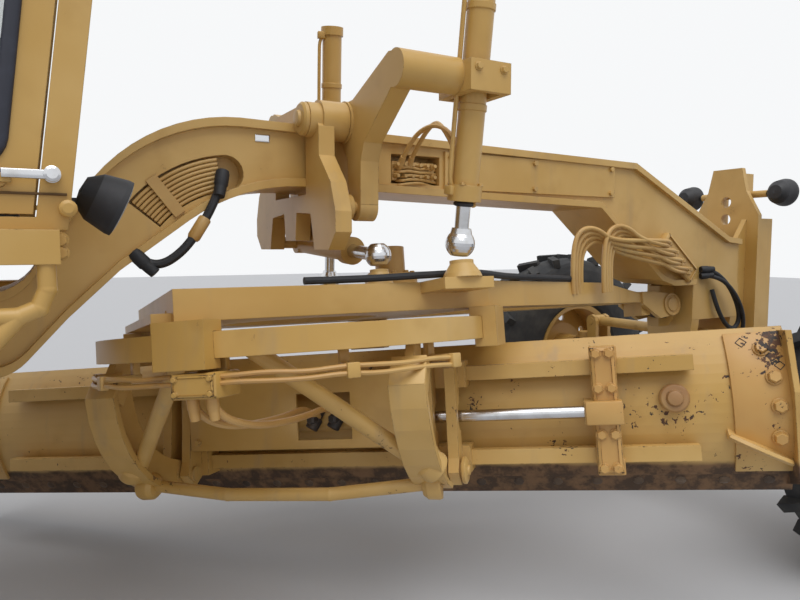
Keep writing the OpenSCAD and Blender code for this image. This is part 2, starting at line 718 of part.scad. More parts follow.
curve_c = [edge_out + 275, edge_z + 327];
rail_low = [edge_out - 192, edge_z + 180];
rail_high = [edge_out - 185, edge_z + 500];
pivot = [edge_out - 300, edge_z + 150];
side_z = edge_z + 340;
side_x = edge_out - 228;
side_lug_y = -1135;
barrel_y = [-480, arm_y - 65.3];

module rail_outline(r) {
    polygon([[r[0] - 22, r[1] - 28], [r[0] + 22, r[1] - 28], [r[0] + 22, r[1] - 12], [r[0] + 72, r[1] - 12],
        [r[0] + 72, r[1] + 12], [r[0] + 22, r[1] + 12], [r[0] + 22, r[1] + 28], [r[0] - 22, r[1] + 28]]);
}

module along_y(y0, l) {
    translate([0, y0 + l, 0]) rotate([90, 0, 0]) linear_extrude(l) children();
}

module mouldboard() {
    tip = [edge_out, edge_z];
    u = [-0.574, 0.819];
    n = [0.819, 0.574];
    color(yellow) on_circle() {
        along_y(blade_shift - blade_l / 2, blade_l)
            polygon(concat(arc(curve_c, blade_r, 215, 140, 16), arc(curve_c, blade_r + blade_t, 140, 215, 16)));
        difference() {
            union() for (r = [rail_low, rail_high]) along_y(blade_shift - 1500, 3000) rail_outline(r);
            along_y(-2000, 4000) circle_at(curve_c, blade_r + 1);
        }
        for (y = [blade_shift - blade_l / 2, blade_shift + blade_l / 2 - 20]) along_y(y, 20)
            polygon(concat([tip + 30 * u], arc(curve_c, blade_r - 2, 215, 140, 8), [tip + [-175, 592], tip + [-215, 380],
                tip + [-175, 60]]));
        translate([0, blade_shift + side_lug_y, 0]) difference() {
            box([side_x - 45, edge_out - 120], [-22, 22], [side_z - 40, side_z + 40]);
            pin_y([side_x, 0, side_z], 45 + 0.6, 60);
        }
    }
    color(steel) on_circle() along_y(blade_shift - blade_l / 2, blade_l)
        polygon([tip, tip + 152 * u, tip + 152 * u + 16 * n, tip + 16 * n]);
}

module circle_at(c, r) {
    translate(c) circle(r = r, $fn = 96);
}

module side_rod() {
    y = [blade_shift + side_lug_y - 40, 30];
    color(chrome) on_circle() pin_y([side_x, (y[0] + y[1]) / 2, side_z], 45, y[1] - y[0]);
}

module side_barrel() {
    color(yellow) on_circle() difference() {
        union() {
            pin_y([side_x, (barrel_y[0] + barrel_y[1]) / 2, side_z], 80, barrel_y[1] - barrel_y[0]);
            pin_y([side_x, barrel_y[0] + 40, side_z], 104, 80);
            box([side_x - 60, side_x - 20], [arm_y - 200, barrel_y[1]], [side_z - 40, side_z + 40]);
        }
        pin_y([side_x, 0, side_z], 45 + 2 * fit, 2 * (barrel_y[1] - 10));
    }
}

module shoe(r) {
    polygon([[r[0] - 53, r[1] - 50], [r[0] + 37, r[1] - 50], [r[0] + 37, r[1] - 13], [r[0] + 23, r[1] - 13],
        [r[0] + 23, r[1] - 29], [r[0] - 23, r[1] - 29], [r[0] - 23, r[1] + 29], [r[0] + 23, r[1] + 29],
        [r[0] + 23, r[1] + 13], [r[0] + 37, r[1] + 13], [r[0] + 37, r[1] + 50], [r[0] - 53, r[1] + 50]]);
}

module blade_carrier() {
    color(tan) on_circle() for (s = [-1, 1]) difference() {
        union() {
            for (r = [rail_low, rail_high]) along_y(s * arm_y - 95, 190) shoe(r);
            for (y = [s * arm_y - 65, s * arm_y + 25]) along_y(y, 40)
                polygon([[rail_low[0] - 52, rail_low[1] - 50], pivot + [0, -55], pivot + [-50, 0], pivot + [-30, 50],
                    [rail_high[0] - 120, rail_high[1] - 60], [rail_high[0] - 120, rail_high[1] + 30],
                    [rail_high[0] - 52, rail_high[1] + 50], [rail_high[0] - 52, rail_high[1] - 50],
                    [rail_low[0] - 52, rail_low[1] + 50]]);
        }
        pin_y([pivot[0], s * arm_y, pivot[1]], 60 + 2 * fit, 300);
        if (s < 0) pin_y([side_x, s * arm_y, side_z], 110, 300);
    }
}

arm_top = circle_z - 0.3;
arm_outer = concat([[-435, arm_top]], arc([-70, 880], 450, 185, 262, 8), [pivot + [28, -45]]);
arm_inner = concat([[-350, arm_top]], arc([-20, 880], 340, 180, 250, 8), [pivot + [28, 45]]);

module blade_arms() {
    color(yellow) on_circle() {
        both_sides() {
            along_y(arm_y - 15, 30) polygon(concat(arm_outer, reversed(arm_inner)));
            along_y(arm_y - 60, 120) polygon(concat([for (i = [1:8]) arm_outer[i]],
                [for (i = [8:-1:1]) arm_outer[i] + [24, 10]]));
            pin_y([pivot[0], arm_y, pivot[1]], 100, 40);
            pin_y([pivot[0], arm_y, pivot[1]], 60, 150);
        }
        difference() {
            both_sides() bar([-330, arm_y - 10, 560], [-668, 120, circle_z + 20], 56);
            box([-760, 0], [-400, 400], [arm_top, circle_z + circle_t]);
        }
        bent_bar([[-250, -arm_y, 480], [-300, -200, 455], [-300, 200, 455], [-250, arm_y, 480]], 46);
    }
}

/* Front axle */

knuckle_gap = 5;

module front_axle() {
    color(yellow) {
        difference() {
            plate_x([[-lean_y - 38, lean_z - 26], [-lean_y - 26, lean_z - 38], [-580, lean_z - 70], [-200, lean_z - 20],
                [200, lean_z - 20], [580, lean_z - 70], [lean_y + 26, lean_z - 38], [lean_y + 38, lean_z - 26],
                [lean_y + 38, lean_z + 26], [lean_y + 26, lean_z + 38], [580, lean_z + 70], [200, lean_z + 130],
                [-200, lean_z + 130], [-580, lean_z + 70], [-lean_y - 26, lean_z + 38], [-lean_y - 38, lean_z + 26]],
                front_axle_x - 35, 70);
            both_sides() pin_x([front_axle_x, lean_y, lean_z], 60 + 2 * fit, 100);
        }
        for (x = [-75, 35]) plate_x([[-580, lean_z - 60], [-200, lean_z - 15], [200, lean_z - 15], [580, lean_z - 60],
            [580, lean_z + 60], [200, lean_z + 120], [-200, lean_z + 120], [-580, lean_z + 60]], front_axle_x + x, 40);
        pin_x([front_axle_x, 0, lean_z + 60], 80, 420);
    }
}

bar_z = lean_z + lean_bar_rise;

module lean_bracket(s) {
    color(yellow) mirror([0, s > 0 ? 0 : 1, 0]) {
        difference() {
            union() {
                for (x = [-66, 40]) plate_x([[lean_y - 45, lean_z], [lean_y - 32, lean_z - 32], [lean_y, lean_z - 45],
                    [king_y, 540], [king_y, 740], [king_y - 68, 764], [king_y - 68, 820], [lean_y + 42, bar_z], [lean_y + 30, bar_z + 30], [lean_y, bar_z + 42],
                    [lean_y - 30, bar_z + 30], [lean_y - 42, bar_z]], front_axle_x + x, 26);
                pin_z([front_axle_x, king_y, 640], 132, 250);
            }
            pin_z([front_axle_x, king_y, 640], 60 + 2 * fit, 300);
            box([front_axle_x - 40, front_axle_x + 40], [lean_y - 60, lean_y + 53], [500, bar_z + 60]);
        }
        pin_x([front_axle_x, lean_y, lean_z], 60, 140);
        pin_x([front_axle_x, lean_y, bar_z], 44, 140);
    }
}

module lean_bar() {
    color(yellow) difference() {
        union() {
            pin_y([front_axle_x, 0, bar_z], 60, 2 * lean_y - 60);
            both_sides() pin_x([front_axle_x, lean_y, bar_z], 76, 70);
        }
        both_sides() pin_x([front_axle_x, lean_y, bar_z], 44 + 2 * fit, 100);
    }
}

eye_x = front_axle_x - steer_arm;

module knuckle(s) {
    color(tan) mirror([0, s > 0 ? 0 : 1, 0]) {
        for (z = [790, 490]) pin_z([front_axle_x, king_y, z], 120, 40);
        pin_z([front_axle_x, king_y, 640], 60, 300);
        difference() {
            plate_x([[king_y, 470], [king_y + 105, 560], [king_y + 105, 740], [king_y, 810], [king_y, 770], [king_y + 72, 710],
                [king_y + 72, 560], [king_y, 510]], front_axle_x - 55, 110);
            pin_z([front_axle_x, king_y, 640], 132 + 2 * knuckle_gap, 250 + 2 * knuckle_gap);
        }
        translate([front_axle_x, king_y + 72, tyre_r]) rotate([-90, 0, 0]) cylinder(d = 110, h = 42, $fn = 64);
        translate([front_axle_x, king_y + 72, tyre_r]) rotate([-90, 0, 0])
            cylinder(d = spindle_d, h = track_half + 55 - king_y - 72, $fn = 64);
        difference() {
            translate([0, 0, 470]) linear_extrude(30) polygon([[front_axle_x, king_y - 50], [eye_x, king_y - 34],
                [eye_x - 34, king_y], [eye_x, king_y + 34], [front_axle_x, king_y + 50]]);
            pin_z([eye_x, king_y, 480], 30 + 2 * fit, 100);
        }
    }
}

rod_z = 412;

module tie_rod_end() {
    color(tan) {
        pin_z([eye_x, king_y, 462], 30, 76);
        pin_z([eye_x, king_y, rod_z + 4], 50, 54);
        pin_x([eye_x, king_y, rod_z], 26, 92);
    }
}

module tie_rod() {
    color(tan) {
        pin_y([eye_x, -40, rod_z], 46, 2 * king_y - 190);
        pin_z([eye_x, -king_y, rod_z], 66, 38);
        pin_y([eye_x, -king_y + 50, rod_z], 40, 100);
        difference() {
            union() for (x = [-45, 31]) box([eye_x + x, eye_x + x + 14], [king_y - 150, king_y + 24], [rod_z - 24, rod_z + 24]);
            pin_x([eye_x, king_y, rod_z], 26 + 2 * fit, 120);
        }
        box([eye_x - 45, eye_x + 45], [king_y - 150, king_y - 120], [rod_z - 24, rod_z + 24]);
    }
}

/* Front mast and lamps */

mast_x = bolster_x[1] + 60;

module front_mast() {
    color(yellow) {
        difference() {
            plate_x([[-150, 800], [150, 800], [200, 900], [200, 1560], [120, 1700], [90, 1830], [-90, 1830], [-120, 1700],
                [-200, 1560], [-200, 900]], mast_x + 20, 30);
            for (z = [1540, 1640]) pin_x([mast_x, 0, z], 60, 200);
        }
        both_sides() {
            box([mast_x + 50, mast_x + 150], [170, 200], [900, 1540]);
            box([mast_x + 50, mast_x + 130], [60, 90], [860, 1800]);
            plate_y([[bolster_front, 1100], [mast_x + 22, 1000], [mast_x + 22, 1540], [bolster_front, 1425]], 100, 30);
            difference() {
                plate_y(concat([[mast_x + 50, 880], [mast_x + 50, 1000]], arc([mast_x + 190, 940], 60, 80, -80, 8)), 95, 30);
                pin_y([mast_x + 190, 0, 940], 51, 300);
            }
            plate_y(concat([[mast_x + 50, 1250], [mast_x + 50, 1330]], arc([mast_x + 170, 1290], 40, 80, -80, 8)), 110, 24);
        }
        box([mast_x + 50, mast_x + 140], [-200, 200], [1400, 1424]);
        box([mast_x + 50, mast_x + 140], [-200, 200], [1120, 1144]);
        pin_y([mast_x + 90, 0, 1680], 40, 2 * lamp_y - 170);
    }
}

lamp_y = 290;

module lamp_shape(d, l) {
    rotate([0, 90, 0]) rotate_extrude($fn = 48)
        polygon([[0, -l], [d * 0.25, -l * 0.95], [d * 0.42, -l * 0.6], [d / 2, 0], [d / 2, 14], [d / 2 - 8, 14], [d / 2 - 8, 6], [0, 10]]);
}

module front_lamps() {
    color(dark) both_sides() {
        translate([mast_x + 100, lamp_y, 1680]) lamp_shape(150, 90);
        pin_y([mast_x + 90, lamp_y - 78, 1680], 30, 13.4);
        translate([390, 500, 1490]) rotate([0, 25, 0]) lamp_shape(160, 100);
        along_y(485, 30) polygon([[front_at(1480) + 0.3, 1480], [340, 1480], [340, 1510], [front_at(1510) + 0.3, 1510]]);
    }
}

/* Cab */

function front_at(z) = cab_front_x + (z - floor_z) * tan(cab_lean);

platform_z = [floor_z - 80, floor_z];

module platform() {
    guard_tubes();
    color(yellow) {
        difference() {
            box([cab_rear_x, front_at(floor_z) - 20], [-cab_half - 60, cab_half + 60], platform_z);
            box([150, 400], [-flange_y - 12, flange_y + 12], [platform_z[0] - 1, platform_z[1] + 1]);
            box([cab_rear_x + 20, front_at(floor_z) - 40], [-cab_half - 40, cab_half + 40], [platform_z[0] - 1, platform_z[1] - 12]);
        }
        for (x = [-600, -40], s = [-1, 1]) pin_z([x, s * 120, (hitch_top_z + floor_z - 12) / 2], 100, floor_z - 12 - hitch_top_z);
    }
}

guard_d = 42;
guard_bend = 60;

// Points in X and Z as a route at one distance from the middle
function route(y, points) = [for (p = points) [p[0], y, p[1]]];

module guard_tubes() {
    x = front_at(floor_z) - 50;
    y = cab_half + 35;
    color(yellow) both_sides() {
        bent_bar(route(y, concat([[x, platform_z[0]]], arc([x - guard_bend, 1282], guard_bend, 0, -90, 2),
            arc([-440 + guard_bend, 1282], guard_bend, -90, -180, 2), [[-440, platform_z[0]]])), guard_d);
        bent_bar(route(y, concat([[x - 60, 1222]], [[x - 178, 1090]], arc([-520 + guard_bend, 1090 + guard_bend], guard_bend, -90, -180, 2),
            [[-520, platform_z[0]]])), guard_d);
    }
}

// Side outline of the cab, drawn in from its faces
module cab_side(inset) {
    polygon([[cab_rear_x + inset, floor_z + (inset > 0 ? 30 : 0)], [front_at(floor_z) - inset, floor_z + (inset > 0 ? 30 : 0)],
        [front_at(roof_z) - inset, roof_z + (inset > 0 ? 1 : 0)], [cab_rear_x + 70 + inset, roof_z + (inset > 0 ? 1 : 0)],
        [cab_rear_x + inset, 2000]]);
}

door_x = -430;
door_z = [floor_z + 30, roof_z - 70];
post = 70;
function door_front(z) = front_at(z) - post;

// Doorway, or the door itself when it is drawn in by the gap
module door_outline(inset) {
    polygon([[door_x + inset, door_z[0] + inset], [door_front(door_z[0]) - inset, door_z[0] + inset],
        [door_front(door_z[1]) - inset, door_z[1] - inset], [door_x + inset, door_z[1] - inset]]);
}

module cab_body() {
    color(yellow) difference() {
        along_y(-cab_half, 2 * cab_half) cab_side(0);
        along_y(-cab_half + wall_t, 2 * cab_half - 2 * wall_t) cab_side(wall_t);
        along_y(-cab_half - 1, 2 * cab_half + 2) door_outline(0);
        along_y(-cab_half - 1, 2 * cab_half + 2)
            polygon([[cab_rear_x + post, 2020], [door_x - post, 2020], [door_x - post, door_z[1]], [cab_rear_x + post + 60, door_z[1]]]);
        box([0, 700], [-cab_half + post, cab_half - post], [2000, door_z[1]]);
        for (s = [-1, 1]) box([0, 500], s > 0 ? [flange_y + 60, cab_half - post] : [-cab_half + post, -flange_y - 60],
            [floor_z + 110, 1930]);
        box([100, 500], [-flange_y - 12, flange_y + 12], [floor_z - 1, 1640]);
        box([cab_rear_x - 1, cab_rear_x + 200], [-cab_half + post, cab_half - post], [2020, door_z[1]]);
    }
    color(yellow) both_sides() for (z = hinge_low) {
        for (k = [z, z + 88]) {
            pin_z([hinge_x, hinge_y, k + 20], 2 * hinge_r, 40);
            box([hinge_x - 60, hinge_x], [cab_half, hinge_y - 4], [k, k + 40]);
        }
        pin_z([hinge_x, hinge_y, z + 64], hinge_pin_d, 128);
    }
}

module cab_roof() {
    color(yellow) plate_x([[-cab_half - 50, roof_z], [cab_half + 50, roof_z], [cab_half + 50, roof_z + 60], [cab_half - 60, roof_z + 120],
        [-cab_half + 60, roof_z + 120], [-cab_half - 50, roof_z + 60]], cab_rear_x + 20, front_at(roof_z) - cab_rear_x + 60);
}

glass_t = 6;
hinge_x = door_x - 4;
hinge_y = cab_half + 16;
hinge_pin_d = 14;
hinge_r = 15;
hinge_low = [floor_z + 230, roof_z - 330];

// Pane in the leaning front wall
module front_pane(y, z) {
    plate_m = wall_t / 2;
    along_y(y[0], y[1] - y[0]) polygon([[front_at(z[0]) - plate_m, z[0]], [front_at(z[0]) - plate_m + glass_t, z[0]],
        [front_at(z[1]) - plate_m + glass_t, z[1]], [front_at(z[1]) - plate_m, z[1]]]);
}

module cab_glass() {
    color("#8FA3A0", 0.35) {
        front_pane([-cab_half + post, cab_half - post], [2000, door_z[1]]);
        both_sides() front_pane([flange_y + 60, cab_half - post], [floor_z + 110, 1930]);
        both_sides() along_y(cab_half - wall_t / 2, glass_t)
            polygon([[cab_rear_x + post, 2020], [door_x - post, 2020], [door_x - post, door_z[1]], [cab_rear_x + post + 60, door_z[1]]]);
        along_y(-cab_half + post, 2 * cab_half - 2 * post) {
            k = 70 / (roof_z - 2000);
            polygon([[cab_rear_x + 20 + 20 * k, 2020], [cab_rear_x + 26 + 20 * k, 2020],
                [cab_rear_x + 26 + (door_z[1] - 2000) * k, door_z[1]], [cab_rear_x + 20 + (door_z[1] - 2000) * k, door_z[1]]]);
        }
    }
}

door_glass_z = [floor_z + 150, door_z[1] - 90];

module door_window(inset) {
    x0 = door_x + 90 + inset;
    polygon(concat([[x0, door_glass_z[0] + inset]],
        arc([door_front(door_glass_z[0]) - 150, door_glass_z[0] + 70], 70 - inset, -90, 0, 4),
        [[door_front(door_glass_z[1]) - 90 - inset, door_glass_z[1] - inset], [x0, door_glass_z[1] - inset]]));
}

module door(s) {
    color(yellow) mirror([0, s > 0 ? 0 : 1, 0]) {
        difference() {
            along_y(cab_half - wall_t, wall_t) door_outline(gap);
            along_y(cab_half - wall_t - 1, wall_t + 2) door_window(0);
        }
        for (z = hinge_low) difference() {
            union() {
                pin_z([hinge_x, hinge_y, z + 64], 2 * hinge_r, 44);
                box([hinge_x, hinge_x + 76], [cab_half, hinge_y - 4], [z + 42, z + 86]);
            }
            pin_z([hinge_x, hinge_y, z + 64], hinge_pin_d + 2 * fit, 60);
        }
        translate([120, cab_half, floor_z + 118]) rotate([-90, 0, 0]) cylinder(d = 46, h = 16, $fn = 32);
        box([60, 150], [cab_half + 14, cab_half + 26], [floor_z + 106, floor_z + 130]);
    }
}

module door_glass(s) {
    color("#8FA3A0", 0.35) mirror([0, s > 0 ? 0 : 1, 0]) along_y(cab_half - wall_t / 2, glass_t) door_window(0);
}

module seat() {
    color(dark) {
        pin_z([-480, 0, floor_z + 150], 160, 240);
        box([-720, -230], [-250, 250], [floor_z + 270, floor_z + 390]);
        plate_y([[-730, floor_z + 390], [-600, floor_z + 390], [-660, floor_z + 900], [-760, floor_z + 900]], -240, 480);
        both_sides() box([-640, -330], [262, 330], [floor_z + 520, floor_z + 570]);
        both_sides() box([-700, -640], [240, 300], [floor_z + 380, floor_z + 560]);
    }
}

module console() {
    color(dark) {
        plate_y([[20, floor_z + 30], [150, floor_z + 30], [140, floor_z + 560], [0, floor_z + 640], [-60, floor_z + 600], [20, floor_z + 420]],
            -170, 340);
        bar([20, 0, floor_z + 600], [-80, 0, floor_z + 780], 44);
        translate([-80, 0, floor_z + 780]) rotate([0, -29, 0]) {
            rotate_extrude($fn = 48) translate([190, 0]) circle(d = 28, $fn = 24);
            cube([380, 30, 12], center = true);
            cube([30, 380, 12], center = true);
        }
        for (s = [-1, 1], i = [0:4]) bar([60, s * (110 + 14 * i), floor_z + 560], [-10 - 6 * i, s * (190 + 34 * i), floor_z + 800], 12);
    }
}

module cab_interior() {
    seat();
    console();
}

/* Output */

tyre(0);  // tyre_front_left
tyre(1);  // tyre_front_right
tyre(2);  // tyre_mid_left
tyre(3);  // tyre_mid_right
tyre(4);  // tyre_rear_left
tyre(5);  // tyre_rear_right
rim(0);  // rim_front_left
rim(1);  // rim_front_right
rim(2);  // rim_mid_left
rim(3);  // rim_mid_right
rim(4);  // rim_rear_left
rim(5);  // rim_rear_right
rear_frame();
engine();
engine_hood();
radiator_grille();
rear_axle();
tandem_cases();
rear_lamps();
front_frame();
drawbar_socket();
frame_lines();
saddle();
link_bar();
lift_arms();
platform();
cab_body();
cab_roof();
cab_glass();
cab_interior();
front_mast();
front_lamps();
front_axle();
door(1);  // door_left
door(-1);  // door_right
door_glass(1);  // door_glass_left
door_glass(-1);  // door_glass_right
lift_cylinder(1);  // lift_cylinder_left
lift_cylinder(-1);  // lift_cylinder_right
lift_rod(1);  // lift_rod_left
lift_rod(-1);  // lift_rod_right
shift_cylinder();
shift_rod();
drawbar_ball();
drawbar();
turn_circle();  // circle
blade_arms();
blade_carrier();
side_barrel();
mouldboard();
side_rod();
lean_bracket(1);  // lean_bracket_left
lean_bracket(-1);  // lean_bracket_right
lean_bar();
knuckle(1);  // knuckle_left
knuckle(-1);  // knuckle_right
tie_rod_end();
tie_rod();
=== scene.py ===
import math

import bpy
from mathutils import Matrix, Vector


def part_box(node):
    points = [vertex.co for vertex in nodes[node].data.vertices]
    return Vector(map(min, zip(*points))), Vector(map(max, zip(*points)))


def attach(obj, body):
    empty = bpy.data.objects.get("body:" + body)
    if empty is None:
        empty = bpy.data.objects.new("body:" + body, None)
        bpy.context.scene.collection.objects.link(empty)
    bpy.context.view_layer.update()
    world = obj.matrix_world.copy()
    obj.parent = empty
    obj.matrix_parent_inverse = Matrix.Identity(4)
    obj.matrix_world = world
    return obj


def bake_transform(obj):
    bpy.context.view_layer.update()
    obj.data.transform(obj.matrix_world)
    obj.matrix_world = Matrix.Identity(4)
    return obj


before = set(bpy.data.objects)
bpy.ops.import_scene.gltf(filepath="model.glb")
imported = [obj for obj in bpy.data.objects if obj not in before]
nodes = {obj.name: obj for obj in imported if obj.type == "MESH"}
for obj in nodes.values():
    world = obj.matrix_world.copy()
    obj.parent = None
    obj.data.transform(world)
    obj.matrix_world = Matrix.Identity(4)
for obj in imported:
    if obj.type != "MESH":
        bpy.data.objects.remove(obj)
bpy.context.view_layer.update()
bpy.ops.object.select_all(action="DESELECT")
print("frame loaded:", len(nodes), "nodes")

# camera and light

view = {
    "place": (0.19, -2.46, 1.38),   # eye height of a person beside the machine
    "turn": 29.0,                   # degrees from straight across, towards the front
    "tilt": -4.6,                   # degrees, below level
    "lens": 29.57,
    "sensor": 36,
    "reach": 200,                   # metres that the camera sees
}


def placeCamera():
    bpy.ops.object.camera_add(location=view["place"])
    camera = bpy.context.object
    camera.rotation_euler = (math.radians(90 + view["tilt"]), 0, math.radians(-view["turn"]))
    camera.data.lens = view["lens"]
    camera.data.sensor_width = view["sensor"]
    camera.data.clip_end = view["reach"]
    bpy.context.scene.camera = camera


light = {
    "skyColour": (0.93, 0.96, 1.0),
    "skyStrength": 0.52,
    "backdrop": (0.93, 0.94, 0.95),
    "sunStrength": 1.90,
    "sunTurn": (24, 6, -28),        # degrees, high and a little from behind the camera
    "sunSize": 55,                  # degrees, so its shadows are soft
    "floor": (0.50, 0.50, 0.51),
}


def placeLight():
    bpy.ops.object.light_add(type="SUN", rotation=[math.radians(a) for a in light["sunTurn"]])
    sun = bpy.context.object
    sun.data.energy = light["sunStrength"]
    sun.data.angle = math.radians(light["sunSize"])
    world = bpy.data.worlds.new("overcast")
    bpy.context.scene.world = world
    world.use_nodes = True
    tree = world.node_tree
    tree.nodes.clear()
    path = tree.nodes.new("ShaderNodeLightPath")
    shown = path.outputs["Is Camera Ray"]       # rays that see the backdrop and not the sky
    for ray in ("Is Transmission Ray", "Is Glossy Ray"):
        either = tree.nodes.new("ShaderNodeMath")
        either.operation = "MAXIMUM"
        tree.links.new(shown, either.inputs[0])
        tree.links.new(path.outputs[ray], either.inputs[1])
        shown = either.outputs[0]
    mix = tree.nodes.new("ShaderNodeMixShader")
    tree.links.new(shown, mix.inputs["Fac"])
    glows = ((light["skyColour"], light["skyStrength"]), (light["backdrop"], 1.0))
    for i, (colour, strength) in enumerate(glows):
        glow = tree.nodes.new("ShaderNodeBackground")
        glow.inputs["Color"].default_value = (*colour, 1)
        glow.inputs["Strength"].default_value = strength
        tree.links.new(glow.outputs[0], mix.inputs[i + 1])
    out = tree.nodes.new("ShaderNodeOutputWorld")
    tree.links.new(mix.outputs[0], out.inputs["Surface"])


bpy.context.scene.view_settings.view_transform = "Standard"
placeCamera()
placeLight()
print("camera and light placed")


# shader expressions

class Value:
    # a node's output in a finish, so that its sums can be written plainly

    def __init__(self, finish, socket):
        self.finish = finish
        self.socket = socket

    def maths(self, kind, *others):
        return self.finish.node("ShaderNodeMath", {"operation": kind}, *others)

    def __add__(self, other):
        return self.maths("ADD", self, other)

    def __radd__(self, other):
        return self.maths("ADD", other, self)

    def __sub__(self, other):
        return self.maths("SUBTRACT", self, other)

    def __rsub__(self, other):
        return self.maths("SUBTRACT", other, self)

    def __mul__(self, other):
        return self.maths("MULTIPLY", self, other)

    def __pow__(self, other):
        return self.maths("POWER", self, other)

    def most(self, other):
        return self.maths("MAXIMUM", self, other)

    def ramp(self, low, high):
        return self.finish.node("ShaderNodeMapRange", {"interpolation_type": "SMOOTHSTEP"}, self, low, high)


class Finish:
    def __init__(self, name):
        self.material = bpy.data.materials.new(name)
        self.material.use_nodes = True
        self.tree = self.material.node_tree
        self.tree.nodes.clear()
        out = self.tree.nodes.new("ShaderNodeOutputMaterial")
        self.shader = self.tree.nodes.new("ShaderNodeBsdfPrincipled")
        self.tree.links.new(self.shader.outputs[0], out.inputs["Surface"])
        self.coords = self.node("ShaderNodeTexCoord", {}, output="Object")

    def node(self, kind, settings, *values, output=0, **named):
        # values fill the inputs in order, and named ones go to the input of that name
        made = self.tree.nodes.new(kind)
        for key, setting in settings.items():
            setattr(made, key, setting)
        for i, value in enumerate(values):
            self.plug(made.inputs[i], value)
        for key, value in named.items():
            self.plug(made.inputs[key.replace("_", " ")], value)
        return Value(self, made.outputs[output])

    def plug(self, socket, value):
        if isinstance(value, Value):
            self.tree.links.new(value.socket, socket)
            return
        if isinstance(value, tuple) and len(value) == 3 and len(socket.default_value) == 4:
            value = (*value, 1)
        socket.default_value = value

    def noise(self, scale, detail=2.0, rough=0.5, stretch=None):
        where = self.coords
        if stretch:
            where = self.node("ShaderNodeMapping", {}, self.coords, Scale=stretch)
        return self.node("ShaderNodeTexNoise", {}, Vector=where, Scale=scale, Detail=detail, Roughness=rough,
                         output="Fac")

    def mix(self, share, first, second):
        made = self.tree.nodes.new("ShaderNodeMix")
        made.data_type = "RGBA"
        for place, value in ((0, share), (6, first), (7, second)):
            self.plug(made.inputs[place], value)
        return Value(self, made.outputs[2])

    def dot(self, first, second):
        return self.node("ShaderNodeVectorMath", {"operation": "DOT_PRODUCT"}, first, second, output="Value")

    def edges(self, size):
        # the rounded normal, and a share that is 0 on flat faces and rises on edges within size of them
        rounded = self.node("ShaderNodeBevel", {"samples": 4}, size)
        flat = self.node("ShaderNodeNewGeometry", {}, output="Normal")
        return rounded, (1 - self.dot(rounded, flat)).ramp(0.02, 0.25)

    def bump(self, strength, distance, height, normal=None):
        onto = {} if normal is None else {"Normal": normal}
        return self.node("ShaderNodeBump", {}, Strength=strength, Distance=distance, Height=height, **onto)

    def wear(self, **sockets):
        for key, value in sockets.items():
            self.plug(self.shader.inputs[key.replace("_", " ")], value)
        return self.material


paint = {
    "yellow": (0.540, 0.318, 0.078),
    "faded": (0.640, 0.415, 0.145),
    "shade": (0.410, 0.225, 0.048),
    "tan": (0.430, 0.235, 0.062),       # a darker yellow, for axles, pins and lines low on the frame
    "hose": (0.520, 0.285, 0.085),      # hoses that were painted over
    "scuffed": (0.560, 0.300, 0.080),
    "rusted": (0.330, 0.165, 0.060),
    "primer": (0.030, 0.024, 0.020),
    "rust": (0.115, 0.050, 0.022),
    "dust": (0.300, 0.235, 0.165),
}
streak = (1.0, 1.0, 0.12)               # noise drawn out upright, as rain leaves it


def weathered(f, top, shade, dust):
    # old paint: its colour, and the noises from which it is mixed
    patches = f.noise(1.3, 4, 0.6)
    cloud = f.noise(6.0, 3, 0.55)
    streaks = f.noise(9.0, 3, 0.6, stretch=streak)
    colour = f.mix(patches.ramp(0.35, 0.68), top, paint["faded"])
    colour = f.mix(cloud.ramp(0.52, 0.80) * shade, colour, paint["shade"])
    colour = f.mix(streaks.ramp(0.55, 0.85) * dust, colour, paint["dust"])
    return colour, patches, cloud, streaks


def bareMetal(f):
    return f.mix(f.noise(38.0, 2).ramp(0.40, 0.60), paint["primer"], paint["rust"])


def paintedSteel(name, top, chips, grime, edgeSize=0.004):
    # chips and grime run from 0, none, to about 1, heavy
    f = Finish(name)
    colour, patches, cloud, streaks = weathered(f, top, 0.40, 0.25 + grime * 0.6)
    rounded, edge = f.edges(edgeSize)
    more = 0.09 * chips
    spots = (f.noise(70.0, 3, 0.6) * 0.35 + cloud * 0.65).ramp(0.69 - more, 0.715 - more)
    rubbed = edge * f.noise(22.0, 3, 0.7).ramp(0.56 - 0.10 * chips, 0.66 - 0.10 * chips)
    worn = rubbed.most(spots * chips)
    colour = f.mix(worn, colour, bareMetal(f))
    rough = 0.34 + patches * 0.16 + worn * 0.35 + streaks.ramp(0.5, 0.9) * 0.15
    height = f.noise(240.0, 2) * 0.10 + cloud * 0.30 - worn * 0.6
    return f.wear(Base_Color=colour, Roughness=rough, Normal=f.bump(0.22, 0.002, height, rounded),
                  Coat_Weight=0.12, Coat_Roughness=0.35)


bladeWear = {
    "origin": (1.0943, -0.0570, 0.4919),     # the blade's tipping pin
    "along": (-0.7220, 0.6848, -0.0989),     # towards the blade's left end
    "up": (0.0046, 0.1477, 0.9890),
    "browned": (-0.020, 0.006),              # heights over which the brown of the cutting edge ends
    "brown": ((0.070, 0.040, 0.022), (0.200, 0.110, 0.052)),
    # where the paint is off: along, up, reach
    "patches": ((-1.42, 0.19, 0.16), (-1.66, 0.28, 0.15), (-1.70, 0.05, 0.16), (-0.98, 0.05, 0.10),
                (0.98, 0.10, 0.14)),
    "patchSquash": 1.4,
}


